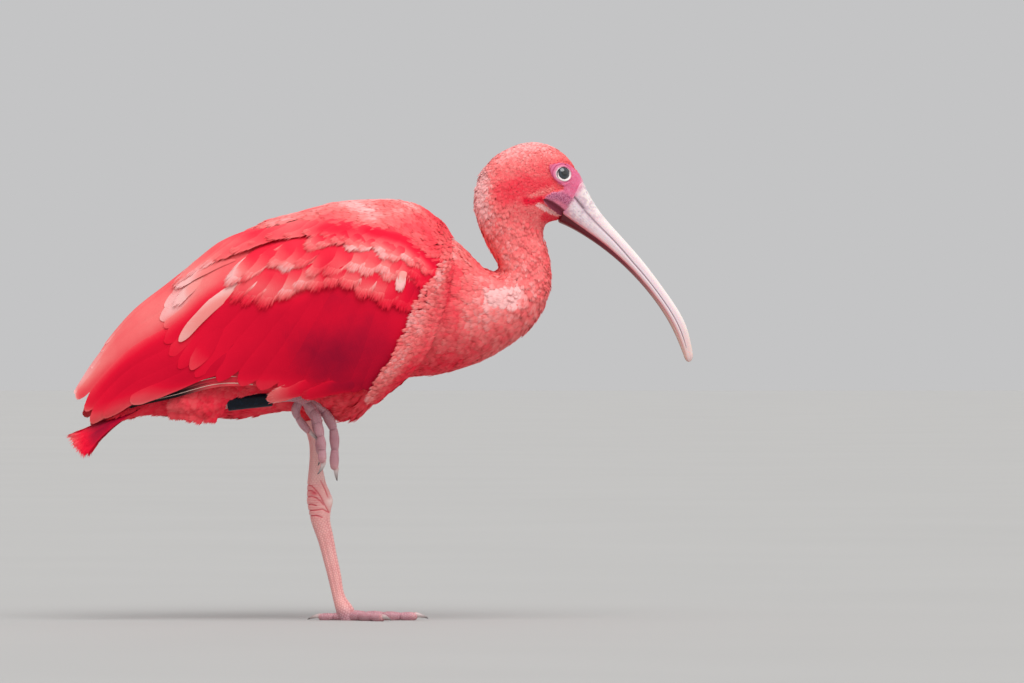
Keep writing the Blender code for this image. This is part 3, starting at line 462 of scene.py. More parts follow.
def slab(name, upper, lower):
    """A closed plate between two grids of points."""
    rows, columns = upper.shape[:2]
    faces = loft_faces(rows, columns, 0, False, False)
    back = rows * columns
    faces += [tuple(p + back for p in reversed(face)) for face in faces]
    last = (rows - 1) * columns
    right = columns - 1
    rim = [(i * columns, (i + 1) * columns) for i in range(rows - 1)]
    rim += [(a + right, b + right) for a, b in rim]
    rim += [(j, j + 1) for j in range(right)]
    rim += [(last + j, last + j + 1) for j in range(right)]
    faces += [(a, b, b + back, a + back) for a, b in rim]
    return solid(name, np.concatenate([upper.reshape(-1, 3), lower.reshape(-1, 3)]), faces)


def combine(obj, operation, others):
    """One Boolean between obj and other closed meshes, applied, the others then removed."""
    group = bpy.data.collections.new(obj.name + "_others")
    bpy.context.scene.collection.children.link(group)
    for other in others:
        bpy.context.scene.collection.objects.unlink(other)
        group.objects.link(other)
    boolean = obj.modifiers.new(operation.lower(), "BOOLEAN")
    boolean.operation = operation
    boolean.operand_type = "COLLECTION"
    boolean.collection = group
    boolean.solver = "MANIFOLD"
    bpy.context.view_layer.update()
    graph = bpy.context.evaluated_depsgraph_get()
    made = bpy.data.meshes.new_from_object(obj.evaluated_get(graph))
    obj.modifiers.clear()
    obj.data = made
    for other in others:
        bpy.data.objects.remove(other)
    bpy.data.collections.remove(group)


def piece(obj, material, slot, *nodes):
    """Finishes a piece: its material, the body it rides on and the nodes it stands for, which it hides; slot
    is not used.
    """
    obj.data.materials.clear()
    obj.data.materials.append(material)
    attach(obj, "root")
    if nodes:
        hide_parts(*nodes)
    return obj


def loft_faces(rows, columns, start=0, closed=True, caps=True):
    """Faces over a grid of rows and columns of points, and over its two ends."""
    faces = []
    across = columns if closed else columns - 1
    for i in range(rows - 1):
        for k in range(across):
            after = (k + 1) % columns
            a, b = start + i * columns, start + (i + 1) * columns
            faces.append((a + k, a + after, b + after, b + k))
    if caps:
        faces.append(tuple(range(start + columns - 1, start - 1, -1)))
        faces.append(tuple(range(start + (rows - 1) * columns, start + rows * columns)))
    return faces


# The bare skin of the face in side view, from the forehead round the eye to the corner of the mouth.
BARE_FACE = (
    (176.4, 335.2), (172.9, 336.2), (170, 338.6), (167.1, 341.4), (163.3, 343.2), (158.5, 343.2),
    (155, 342.3), (151.3, 341.6), (150.8, 338.6), (151.9, 335), (154, 330.8), (157.8, 327.2),
    (161.4, 325.2), (161.9, 322.8), (157.5, 321.3), (153.7, 321.1), (149.4, 318.5), (146.1, 315.6),
    (147.5, 312), (152.3, 307.6), (158, 303.6), (163.4, 300.6), (168, 294), (184, 318), (184, 336),
)
GAPE = ((146.6, 315.4), (152.3, 311.6), (157.1, 308.2), (161.4, 304.9), (166, 301.4), (170, 298))
GAPE_WIDTHS = (1.0, 2.7, 2.9, 2.6, 1.9, 1.5)
MAUVE = ((151.5, 318.3), (157.5, 318.4), (162.3, 316.4), (166.4, 313.6))


def face_share(points):
    """1 on the bare skin of the face and 0 among the feathers."""
    x, z = points[..., 0], points[..., 2]
    edge, _ = distance_to(BARE_FACE + BARE_FACE[:1], x, z)
    signed = np.where(inside(BARE_FACE, x, z), edge, -edge)
    return smooth(-0.6, 0.6, signed)


def coat_depth(points):
    """How deep the skin lies under the plumage's outer surface."""
    x, z = points[..., 0], points[..., 2]
    head = smooth(285, 315, z) * smooth(60, 95, x)
    deep = 3.4 - 1.9 * head
    return deep * (1 - face_share(points))


def body_tone(points):
    """The plumage's colour along the body, from 0, deep crimson, to 1, palest pink, with painted light on
    the crown and the back's top, and painted shade low on the breast and belly and in the crease before the
    breast band.
    """
    x, y, z = points[..., 0], points[..., 1], points[..., 2]
    tone = np.full(x.shape, 0.72)
    # painted light: the crown is made paler, as if lit from above
    lit_crown = smooth(335, 356, z) * smooth(100, 120, x)
    nape = smooth(112, 98, x) * smooth(285, 320, z)
    tone += 0.14 * lit_crown + 0.24 * nape
    cheek, _ = distance_to(((118, 322), (138, 326), (150, 322)), x, z)
    tone -= 0.16 * smooth(13, 3, cheek)
    pale, _ = distance_to(((140.5, 317.5), (147, 320.5), (154, 322.5)), x, z)
    tone += 0.2 * smooth(4, 1, pale)
    tone -= 0.3 * smooth(3.6, 1, distance_to(((134, 315), (140, 314.5), (145.5, 315)), x, z)[0])
    tone += 0.26 * smooth(2.4, 0.8, distance_to(((144, 311.5), (149, 308.2), (158.5, 302.2)), x, z)[0])
    tone -= 0.2 * smooth(5, 1.5, distance_to(((150, 302), (156, 299), (163, 297.5)), x, z)[0])
    spot, _ = distance_to(((115, 243), (127, 246)), x, z)
    tone += 0.5 * smooth(9, 3, spot)
    # painted shade: the low breast and belly are darker, as if in shade under the body
    tone -= 0.22 * smooth(222, 185, z) * smooth(120, 80, x)
    # painted light: the top of the back is made paler, as if lit from above
    back = smooth(262, 285, z) * smooth(104, 90, x)
    tone += 0.1 * back
    # painted shade: a darker line in the crease in front of the breast band
    tone -= 0.12 * smooth(11, 3, distance_to(((84, 262), (82, 240), (86, 216)), x, z)[0])
    tone += 0.05 * waves(points, 22, 3)
    return tone


BODY = body_surface()
WING = Wing()


# The bird's left leg as a tube: x, y, z, fore-and-aft radius, sideways radius.
LEG_LEFT = (
    (-10, 25, 205, 22, 19), (-20, 21, 182, 17, 15), (-27, 17, 165, 12, 11), (-27, 14.2, 149, 7.8, 7.4),
    (-25.2, 12.4, 135, 4.6, 4.2), (-24.8, 11.6, 121, 4.2, 3.7), (-24.2, 10.8, 109.5, 5.8, 4.6),
    (-23.3, 10, 98.5, 7.8, 6), (-21.8, 9.3, 90, 9.3, 6.8), (-21.4, 8.7, 82, 8.3, 6.3),
    (-20.5, 8, 74, 7, 5.4), (-18, 7, 65, 6.2, 4.8), (-13.8, 5.2, 48, 5.3, 4.1), (-9.6, 3, 30, 4.8, 3.8),
    (-5.6, 1.2, 14, 5, 4.6), (-1.8, 0.2, 6, 6.6, 6.4), (0.6, 0, -1.6, 6, 6),
)
SHIN_FROM = 4  # row of the leg where its feathering ends

EYE_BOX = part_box("eye_right")
EYE_X = (EYE_BOX[0][0] + EYE_BOX[1][0]) / 2 / MM
EYE_Y = abs(EYE_BOX[0][1] + EYE_BOX[1][1]) / 2 / MM
EYE_Z = (EYE_BOX[0][2] + EYE_BOX[1][2]) / 2 / MM
EYE_RADIUS = 5.6
EYE_DEPTH = 4.6


def tube(rows, at, sides):
    """Rings across a smooth line of x, y, z and two radii, read at shares of its length."""
    read = read_line(rows, at)
    middles = read[:, :3]
    ways = unit(np.gradient(middles, axis=0))
    out = np.array((0.0, 1.0, 0.0))
    out = unit(out - ways * (ways @ out)[:, None])
    across = np.cross(ways, out)
    turns = math.tau * (np.arange(sides) + 0.5) / sides
    fore = across[:, None] * np.cos(turns)[None, :, None] * read[:, 3, None, None]
    side = out[:, None] * np.sin(turns)[None, :, None] * read[:, 4, None, None]
    return middles[:, None] + fore + side


def row_of(section):
    """The body grid's row at a section, counted from the bill root."""
    table = np.array(BODY_SECTIONS)
    knots = lengths_along((table[:, 0:2] + table[:, 2:4]) / 2)
    place = np.interp(section, np.arange(len(knots)), knots)
    return place / knots[-1] * (BODY_ROWS - 1)


def eye_ring(points):
    """How far side-view places lie from the eye's middle."""
    return np.hypot(points[..., 0] - EYE_X, points[..., 2] - EYE_Z)


def face_relief(points):
    """How far the bare skin's folds stand out."""
    x, z = points[..., 0], points[..., 2]
    far = eye_ring(points)
    turn = np.arctan2(z - EYE_Z, x - EYE_X)
    rear = smooth(-0.2, 0.6, np.cos(turn - 3.9))
    relief = 0.5 * peak(far - 8.3, 0.7) * rear
    relief -= 0.4 * peak(far - 7.4, 0.45)
    relief -= 0.55 * peak(far - 9.8, 0.45) * rear
    relief -= 0.5 * peak(np.hypot(x - 167, z - 323), 3)
    gape, along = distance_to(GAPE, x, z)
    wide = np.interp(along, lengths_along(np.array(GAPE)), GAPE_WIDTHS)
    relief -= 0.8 * smooth(1.3, 0.3, gape / wide)
    relief -= 0.6 * peak(gape, 0.9) * smooth(31, 26, along)
    mauve, _ = distance_to(MAUVE, x, z)
    relief += smooth(5, 2.5, mauve) * (0.3 + 0.26 * waves(points, 1.5, 5))
    relief += 0.1 * waves(points, 2.2, 7) + 0.07 * waves(points, 1, 6)
    return relief * face_share(points)


def horn_share(x, z):
    """How far the lores' pink has given way to the bill's pale horn, at side-view places."""
    edge = np.interp(z, (303, 311, 317.6, 324, 331, 338), (163, 165.5, 170.5, 175, 176, 174))
    return smooth(-3, 4, x - edge)


def face_colours(obj, points):
    """Writes where the face is bare, and where its skin is maroon, mauve, plain or like the bill."""
    x, z = points[..., 0], points[..., 2]
    put(obj, "face", face_share(points))
    far, along = distance_to(GAPE, x, z)
    wide = np.interp(along, lengths_along(np.array(GAPE)), GAPE_WIDTHS)
    put(obj, "gape", smooth(1.25, 0.75, far / wide))
    mauve, _ = distance_to(MAUVE, x, z)
    put(obj, "mauve", smooth(4.6, 2.4, mauve))
    turn = np.arctan2(z - EYE_Z, x - EYE_X)
    put(obj, "fore", smooth(0.1, 0.7, np.cos(turn + 0.3)))
    put(obj, "bill", horn_share(x, z))


def side_distance(tree, x, z):
    """Nodes for the distance in millimetres, in side view, from a place on the head."""
    place = tree.node("ShaderNodeTexCoord").outputs["Object"]
    away = tree.node("ShaderNodeVectorMath", {0: place, 1: (x * MM, 0, z * MM)}, operation="SUBTRACT")
    wide = {0: away.outputs[0], 1: (1 / MM, 0, 1 / MM)}
    flat = tree.node("ShaderNodeVectorMath", wide, operation="MULTIPLY")
    return tree.node("ShaderNodeVectorMath", {0: flat.outputs[0]}, operation="LENGTH").outputs["Value"]


def above(tree, value, edge, width):
    """Nodes for a soft step that rises from 0 to 1 round edge."""
    ends = {"Value": value, "From Min": edge - width / 2, "From Max": edge + width / 2}
    return tree.node("ShaderNodeMapRange", ends, interpolation_type="SMOOTHSTEP").outputs[0]


def skin_material():
    """Bare skin on the face and the skin under the feathers, which carries their markings a little darker,
    as painted shade between the feathers.
    """
    made, tree, shader = new_material("skin", 0.5, Subsurface_Weight=0.12, Subsurface_Scale=0.002)
    shader.inputs["Subsurface Radius"].default_value = (1.0, 0.3, 0.2)
    # painted shade: the skin under the feathers is darker, to read as shade between them
    tone = tree.math("ADD", tree.attribute("tone"), -0.08)
    under = tree.ramp(tone, PLUMAGE)
    wobble = tree.math("MULTIPLY_ADD", tree.noise(3, 2), 0.8, -0.4)
    far = tree.math("DIVIDE", tree.math("ADD", side_distance(tree, EYE_X, EYE_Z), wobble), 16.0)
    rings = tree.ramp(far, ((0, (60, 20, 30)), (0.262, (70, 30, 44)), (0.278, (236, 220, 220)),
        (0.3, (236, 206, 212)), (0.325, (226, 132, 160)), (0.41, (222, 112, 150)),
        (0.455, (182, 30, 86)), (0.49, (224, 112, 152)), (0.545, (222, 104, 146)),
        (0.605, (190, 44, 96)), (0.65, (226, 96, 128)), (1, (230, 128, 152))))
    beyond = tree.times(tree.attribute("fore"), above(tree, far, 0.44, 0.03))
    plain = tree.mix(tree.noise(2.2, 3), (232, 70, 116), (232, 138, 172))
    skin = tree.mix(beyond, rings, plain)
    from_corner = side_distance(tree, EYE_X + 1.6, EYE_Z - 0.6)
    crescent = tree.rest(above(tree, from_corner, 5.1, 0.5))
    pale = tree.mix(crescent, skin, (246, 232, 230))
    specks = tree.noise(0.8, 3)
    flecked = above(tree, specks, 0.52, 0.1)
    flecked = tree.times(flecked, above(tree, far, 0.4, 0.04))
    rosy = tree.mix(tree.times(flecked, 0.35), pale, (206, 70, 118))
    wrinkled = tree.mix(above(tree, tree.noise(0.9, 4), 0.5, 0.22), (156, 46, 96), (210, 126, 158))
    mauve = tree.mix(tree.times(tree.attribute("mauve"), 0.85), rosy, wrinkled)
    paler = tree.mix(tree.noise(2.4, 3), (226, 178, 192), (240, 218, 220))
    horn = tree.mix(tree.attribute("bill"), mauve, paler)
    lines = tree.noise(0.7, 2)
    dark = tree.mix(lines, (84, 0, 28), (142, 12, 58))
    lips = tree.mix(tree.attribute("gape"), horn, dark)
    tree.paint(tree.mix(tree.attribute("face"), under, lips), tree.noise(0.7, 3), 0.35, 0.0004)
    return made


def eye_places():
    """The middle of each eyeball and the way it looks, square to the skin round it."""
    spots = BODY.points[:90]
    gap = np.hypot(spots[..., 0] - EYE_X, spots[..., 2] - EYE_Z) + 99 * (spots[..., 1] > 0)
    row, column = np.unravel_index(np.argmin(gap), gap.shape)
    normal = BODY.normals[row - 4 : row + 5, column - 4 : column + 5].mean(axis=(0, 1))
    normal = normal / np.linalg.norm(normal)
    places = []
    for side in (-1, 1):
        outward = np.array([normal[0], side * abs(normal[1]), normal[2]])
        places.append((np.array([EYE_X, side * EYE_Y, EYE_Z]), outward))
    return places


def eye_shape(centre, outward, grow, around, rings):
    """Points and faces of a slightly flattened eyeball, its poles along the way it looks."""
    forward = np.cross(outward, (0.0, 0.0, 1.0))
    forward /= np.linalg.norm(forward)
    upward = np.cross(forward, outward)
    points = [centre - outward * (EYE_DEPTH + grow)]
    for i in range(1, rings):
        lift = math.pi * i / rings
        for k in range(around):
            turn = math.tau * k / around
            ring = (forward * math.cos(turn) + upward * math.sin(turn)) * (EYE_RADIUS + grow)
            points.append(centre - outward * (EYE_DEPTH + grow) * math.cos(lift) + ring * math.sin(lift))
    points.append(centre + outward * (EYE_DEPTH + grow))
    last = len(points) - 1
    faces = loft_faces(rings - 1, around, 1, True, False)
    for k in range(around):
        after = (k + 1) % around
        faces.append((0, 1 + after, 1 + k))
        faces.append((last, last - around + k, last - around + after))
    return points, faces


def lid(name, centre, outward, reach, thick, push, stretch):
    """One fold of skin round an eye, its front drawn out to a corner by stretch."""
    around, across = 72, 10
    forward = np.cross(outward, (0.0, 0.0, 1.0))
    forward /= np.linalg.norm(forward)
    if forward[0] < 0:
        forward = -forward
    upward = np.cross(forward, outward)
    if upward[2] < 0:
        upward = -upward
    points = []
    for k in range(around):
        turn = math.tau * k / around
        corner = stretch * math.exp(-(((turn + 0.35 + math.pi) % math.tau - math.pi) ** 2) / 0.5)
        way = forward * math.cos(turn) + upward * math.sin(turn)
        for j in range(across):
            roll = math.tau * j / across
            wrinkle = 1 + 0.1 * math.sin(turn * 17 + j) + 0.06 * math.sin(turn * 31)
            far = reach + corner + thick * 1.15 * math.cos(roll)
            points.append(centre + way * far + outward * (push + thick * wrinkle * math.sin(roll)))
    faces = []
    for k in range(around):
        after = (k + 1) % around
        for j in range(across):
            up = (j + 1) % across
            faces.append((k * across + j, after * across + j, after * across + up, k * across + up))
    return solid(name, points, faces)


WING_DEPTH = (
    (84, 3.5), (61.5, 14), (16.5, 17), (-66, 18), (-96, 17), (-118.5, 14), (-141, 9), (-163.5, 5),
    (-182.2, 3.4), (-206.2, 2),
)


def wing_flesh(side):
    """The flesh of a folded wing under its feathers, as one closed plate."""
    xs = np.linspace(80, -150, 90)
    shares = np.linspace(0, 1, 40)
    edges = np.array([WING.round_at(x, value_at(WING_EDGE, x)) for x in xs]) - 9
    ways = -2 + (edges[:, None] + 2) * shares[None]
    depth = value_at(WING_DEPTH, xs)[:, None]
    under = np.interp(-xs, (-80, -30, 150), (3, 4.2, 4.6))[:, None]
    outer = WING.place(xs[:, None], ways, -under)
    thick = (depth - under) * (1 - 0.8 * shares[None] ** 4) * (1 - 0.6 * smooth(-110, -150, xs[:, None]))
    inner = WING.place(xs[:, None], ways, -under - np.maximum(thick, 0.8))
    return slab(f"flesh_{side}", outer * [1, side, 1], inner * [1, side, 1])


def under_wing(points, low, high, front, rear):
    """1 where the folded wings cover the body in side view, in soft steps over their edges."""
    x, z = points[..., 0], points[..., 2]
    return smooth(low, high, z - value_at(WING_EDGE, np.clip(x, -200, 84))) * smooth(front, rear, x)


def make_skin():
    """One skin over head, neck, body, thigh and wings, with the folds of the bare face."""
    head_end = row_of(6)
    rows = np.concatenate([np.arange(0, head_end, 0.6), np.arange(head_end, BODY_ROWS - 1, 3.0)])
    columns = np.arange(0, BODY_COLUMNS, 1.28)
    surface = BODY.at(rows[:, None], columns[None])
    points = BODY.at(rows[:, None], columns[None], face_relief(surface) - coat_depth(surface))
    skin = solid("skin", points, loft_faces(len(rows), len(columns)))
    thigh = tube(LEG_LEFT[:6], np.linspace(0, 0.84, 22), 40)
    middle = thigh.mean(axis=1, keepdims=True)
    thigh = middle + (thigh - middle) * 0.82
    leg = solid("thigh", thigh, loft_faces(22, 40))
    eyes = eye_places()
    lids = [lid(f"lid_{i}", *eye, 5.4, 0.85, 2.3, 1.3) for i, eye in enumerate(eyes)]
    combine(skin, "UNION", [leg, wing_flesh(-1), wing_flesh(1)])
    combine(skin, "UNION", lids)
    sockets = [solid(f"socket_{i}", *eye_shape(*eye, 0.12, 48, 24)) for i, eye in enumerate(eyes)]
    combine(skin, "DIFFERENCE", sockets)
    skin.data.shade_smooth()
    skin.data.set_sharp_from_angle(angle=math.radians(50))
    spots = np.empty(len(skin.data.vertices) * 3, np.float32)
    skin.data.vertices.foreach_get("co", spots)
    spots = spots.reshape(-1, 3).astype(float) / MM
    # painted shade: the skin is darker where the folded wings cover it
    put(skin, "tone", body_tone(spots) - 0.1 * under_wing(spots, -3, 3, 84, 76))
    face_colours(skin, spots)
    return piece(skin, skin_material(), "plumage", "head", "neck", "torso", "thigh_left")


def tuft(name, blades, wide, fan, arch, drop, bends, seed):
    """A small feather 1 long that lies along +X: thin overlapping locks that part towards the end."""
    rng = np.random.default_rng(seed)
    points, faces, along, across, barb = [], [], [], [], []
    for i in range(blades):
        share = 2 * i / (blades - 1) - 1
        start = 0.12 * abs(share) + rng.uniform(0, 0.06)
        end = 1 - 0.16 * share**2 - rng.uniform(0, 0.16)
        turn = fan * share + rng.uniform(-0.06, 0.06)
        half = 0.5 * wide * (1.35 / blades + 0.1)
        curl = rng.uniform(-0.02, 0.05)
        first = len(points)
        rows = [(0.0, 0.0, 0.0)]
        for u, grow in (((0.55, half),) if bends == 1 else ((0.4, half), (0.75, half * 0.75))):
            rows += [(u, -grow, 0.0), (u, 0.0, 0.018), (u, grow, 0.0)]
        rows.append((1.0, 0.0, 0.0))
        for u, side, up in rows:
            reach = start + (end - start) * u
            out = 0.3 * wide * share * min(1.0, 2.2 * reach) + math.tan(turn) * 0.45 * u * u + side
            rise = arch * math.sin(math.pi * min(1.0, reach * 1.1)) - drop * reach * reach
            points.append((reach, out, rise - 0.35 * out * out / wide + up + curl * u * u))
            along.append(reach)
            across.append(out / wide)
            barb.append(7.3 * i + 3.1 * seed)
        low, high, last = first + 1, first + 3 * bends - 2, first + 3 * bends + 1
        faces += [(first, low, low + 1), (first, low + 1, low + 2), (first, low + 2, low)]
        if bends > 1:
            faces += [(low, high, high + 1, low + 1), (low + 1, high + 1, high + 2, low + 2)]
            faces += [(low + 2, high + 2, high, low)]
        faces += [(high, last, high + 1), (high + 1, last, high + 2), (high + 2, last, high)]
    mesh = bpy.data.meshes.new(name)
    mesh.from_pydata(points, [], faces)
    mesh.shade_smooth()
    made = bpy.data.objects.new(name, mesh)
    outwards(made)
    mesh.set_sharp_from_angle(angle=math.radians(60))
    along, across = np.array(along), np.array(across)
    put(made, "along", along)
    put(made, "barb", barb)
    put(made, "patch", joined(along - 0.5, across, 0))
    return made


def tuft_group(name, count, *shape):
    """A few tufts of one kind, each with its own locks, in a collection that is never shown."""
    group = bpy.data.collections.new(name)
    for i in range(count):
        group.objects.link(tuft(f"{name}_{i}", *shape, SEED + i))
    return group


COAT_INPUTS = {
    "Tufts": "Collection", "Spacing": "Float", "Most": "Float", "Tilt Spread": "Float",
    "Turn Spread": "Float", "Size Spread": "Float", "Kinds": "Int", "Seed": "Int", "Finish": "Material",
}


def coat_tree():
    """Geometry Nodes that stand tufts on a bed, along its lie, as large as its size says."""
    made = bpy.data.node_groups.new("coat", "GeometryNodeTree")
    made.interface.new_socket("Bed", in_out="INPUT", socket_type="NodeSocketGeometry")
    for name, kind in COAT_INPUTS.items():
        made.interface.new_socket(name, in_out="INPUT", socket_type="NodeSocket" + kind)
    made.interface.new_socket("Coat", in_out="OUTPUT", socket_type="NodeSocketGeometry")
    tree = Tree(made)
    given = tree.node("NodeGroupInput").outputs

    def field(name, kind="FLOAT"):
        return tree.out(tree.node("GeometryNodeInputNamedAttribute", {"Name": name}, data_type=kind))

    def draw(low, high, step, kind="FLOAT"):
        values = {"Min": low, "Max": high, "Seed": tree.math("ADD", given["Seed"], float(step))}
        return tree.out(tree.node("FunctionNodeRandomValue", values, data_type=kind))

    scatter = tree.node("GeometryNodeDistributePointsOnFaces",
        {"Mesh": given["Bed"], "Distance Min": given["Spacing"], "Density Max": given["Most"],
        "Density Factor": field("density"), "Seed": given["Seed"]}, distribute_method="POISSON")
    lie = tree.node("FunctionNodeAxesToRotation",
        {"Primary Axis": scatter.outputs["Normal"], "Secondary Axis": field("lie", "FLOAT_VECTOR")},
        primary_axis="Z", secondary_axis="X")
    low_tilt = tree.times(given["Tilt Spread"], -1.0)
    low_turn = tree.times(given["Turn Spread"], -1.0)
    tilt = tree.math("ADD", draw(low_tilt, given["Tilt Spread"], 1), field("raised"))
    turn = draw(low_turn, given["Turn Spread"], 2)
    roll = draw(low_tilt, given["Tilt Spread"], 3)
    back = tree.times(tilt, -1.0)
    angles = tree.node("ShaderNodeCombineXYZ", {"X": roll, "Y": back, "Z": turn})
    more = tree.node("FunctionNodeEulerToRotation", {"Euler": angles.outputs[0]})
    facing = tree.node("FunctionNodeRotateRotation",
        {"Rotation": lie.outputs[0], "Rotate By": more.outputs[0]}, rotation_space="LOCAL")
    least = tree.rest(given["Size Spread"])
    most = tree.math("ADD", 1.0, given["Size Spread"])
    size = tree.times(field("size"), draw(least, most, 4))
    apart = {"Collection": given["Tufts"], "Separate Children": True, "Reset Children": True}
    kinds = tree.node("GeometryNodeCollectionInfo", apart)
    last_kind = tree.math("SUBTRACT", given["Kinds"], 1.0)
    stand = tree.node("GeometryNodeInstanceOnPoints",
        {"Points": scatter.outputs["Points"], "Instance": kinds.outputs[0], "Pick Instance": True,
        "Instance Index": draw(0, last_kind, 5, "INT"), "Rotation": facing.outputs[0], "Scale": size})
    shaded = tree.node("GeometryNodeStoreNamedAttribute",
        {"Geometry": stand.outputs[0], "Name": "shade", "Value": draw(0.0, 1.0, 6)}, data_type="FLOAT",
        domain="INSTANCE")
    real = tree.node("GeometryNodeRealizeInstances", {"Geometry": shaded.outputs[0]})
    small = {0: field("patch", "FLOAT_VECTOR"), "Scale": PATCH}
    patch = tree.node("ShaderNodeVectorMath", small, operation="SCALE")
    spread = tree.node("ShaderNodeVectorMath", {0: field("place", "FLOAT_VECTOR"), 1: patch.outputs[0]},
        operation="ADD")
    mapped = tree.node("GeometryNodeStoreNamedAttribute",
        {"Geometry": real.outputs[0], "Name": "OFBake", "Value": spread.outputs[0]}, data_type="FLOAT2",
        domain="CORNER")
    finished = {"Geometry": mapped.outputs[0], "Material": given["Finish"]}
    ended = tree.node("GeometryNodeSetMaterial", finished)
    tree.join(ended.outputs[0], tree.node("NodeGroupOutput").inputs[0])
    return made


def bed(name, points, lie, place, density, size, raised, tone):
    """The sheet that a coat's tufts stand on, an open grid, with what the coat needs to know."""
    rows, columns = points.shape[:2]
    obj = mesh_object(name, points, loft_faces(rows, columns, 0, False, False))
    put(obj, "lie", lie)
    put(obj, "place", np.concatenate([place, place[..., :1] * 0], -1))
    for key, value in (("density", density), ("size", size * MM), ("raised", raised), ("tone", tone)):
        put(obj, key, np.broadcast_to(value, (rows, columns)))
    return obj


def grow_coat(obj, tree, finish, nodes, tufts, spacing, seed, tilt, turn):
    """Grows tufts on a bed, makes them one plain mesh and finishes them as a piece."""
    grown = obj.modifiers.new("coat", "NODES")
    grown.node_group = tree
    values = {"Tufts": tufts, "Spacing": spacing * MM, "Most": 2.2 / (spacing * MM) ** 2,
        "Tilt Spread": tilt, "Turn Spread": turn, "Size Spread": SIZE_SPREAD,
        "Kinds": len(tufts.objects), "Seed": seed, "Finish": finish}
    for item in tree.interface.items_tree:
        if item.item_type == "SOCKET" and item.in_out == "INPUT" and item.name in values:
            grown[item.identifier] = values[item.name]
    bpy.context.view_layer.update()
    graph = bpy.context.evaluated_depsgraph_get()
    made = bpy.data.meshes.new_from_object(obj.evaluated_get(graph), preserve_all_data_layers=True,
        depsgraph=graph)
    obj.modifiers.clear()
    obj.data = made
    for gone in ("lie", "density", "size", "raised", "place", "patch"):
        if gone in made.attributes:
            made.attributes.remove(made.attributes[gone])
    piece(obj, finish, "plumage", *nodes)


def from_face(points):
    """How far side-view places lie outside the bare face."""
    return distance_to(BARE_FACE + BARE_FACE[:1], points[..., 0], points[..., 2])[0]


def body_bed(name, first, last, widths, size, raised, seed, share):
    """The bed of the body's coat between two rows of its grid, faded over widths at its ends."""
    before, after = widths
    rows = np.arange(first - before, min(last + after, BODY_ROWS - 2), 1.6)[:, None]
    columns = np.arange(0, BODY_COLUMNS + 0.01, 2.0)[None]
    surface = BODY.at(rows, columns)
    points = BODY.at(rows, columns, -0.9 * coat_depth(surface))
    lie = unit(BODY.read(BODY.ahead, rows, columns))
    over = unit(BODY.read(BODY.over, rows, columns))
    lie = unit(lie + over * 0.3 * waves(surface, 7, seed)[..., None])
    place = joined(rows / BODY_ROWS, columns / BODY_COLUMNS)
    ruffle = raised(surface) * (1 + 0.5 * waves(surface, 6, seed + 1))
    thick = (1 - face_share(surface)) * share(surface)
    if before:
        thick = thick * smooth(first - before, first + before, rows)
    if after:
        thick = thick * (1 - smooth(last - after, last + after, rows))
    thick = thick * (1 - under_wing(surface, 6, 12, 66, 56))
    return bed(name, points, lie, place, thick, size(surface), ruffle, body_tone(surface))


NECK_TOP = row_of(6.5)
NECK_BASE = row_of(11.2)
BREAST_MIDDLE = row_of(13.8)
BREAST_END = row_of(17.5)


def make_body_coats(tree):
    """The small feathers of head, neck, breast, belly and thigh."""
    fine = plumage_material("head_feathers", 0.16, 0.14)
    head_tufts = tuft_group("head_tuft", 5, 4, 0.46, 0.2, 0.06, 0.1, 1)
    neck_tufts = tuft_group("neck_tuft", 5, 6, 0.42, 0.2, 0.07, 0.12, 1)
    body_tufts = tuft_group("body_tuft", 5, 8, 0.5, 0.22, 0.05, 0.08, 1)

    def coat(name, nodes, first, last, widths, size, raised, seed, tufts, *way, share=lambda p: 1.0):
        made = body_bed(name, first, last, widths, size, raised, seed, share)
        grow_coat(made, tree, fine, nodes, tufts, *way)

    def head_size(p):
        return np.interp(from_face(p), (0, 5, 30, 60), (2.5, 3.2, 5, 6.4))

    def face_size(p):
        return np.interp(from_face(p), (0, 8), (1.7, 2.6))

    def nape_raised(p):
        return 0.1 + 0.28 * smooth(125, 98, p[..., 0])

    def neck_raised(p):
        return 0.2 + 0.12 * smooth(0.2, 0.8, p[..., 0] / 190)

    def beside_face(p):
        return smooth(9, 6, from_face(p))

    head, torso = ["head"], ["torso"]
    coat("coat_head", head, 0, NECK_TOP, (0, 14), head_size, nape_raised, 21, head_tufts, 0.9, 1, 0.1, 0.3)
    coat("coat_face", head, 0, row_of(5), (0, 0), face_size, lambda p: 0.06, 25, head_tufts, 0.55, 7,
        0.12, 0.35, share=beside_face)
    coat("coat_neck", ["neck"], NECK_TOP, NECK_BASE, (14, 16), lambda p: 6.3, neck_raised, 22,
        neck_tufts, 1.0, 2, 0.13, 0.25)
    coat("coat_breast", torso, NECK_BASE, BREAST_MIDDLE, (16, 16), lambda p: 10.5, lambda p: 0.13, 23,
        body_tufts, 1.7, 23, 0.08, 0.2)
    coat("coat_flanks", torso, BREAST_MIDDLE, BREAST_END, (16, 16), lambda p: 10.5, lambda p: 0.13, 26,
        body_tufts, 1.7, 26, 0.08, 0.2)
    coat("coat_belly", ["torso", "tail"], BREAST_END, BODY_ROWS, (16, 0), lambda p: 13, lambda p: 0.12,
        24, body_tufts, 2.1, 4, 0.1, 0.25)
    make_thigh_coat(tree, fine, body_tufts)
    make_knee_fluff(tree, fine)
    make_breast_bands(tree, fine)


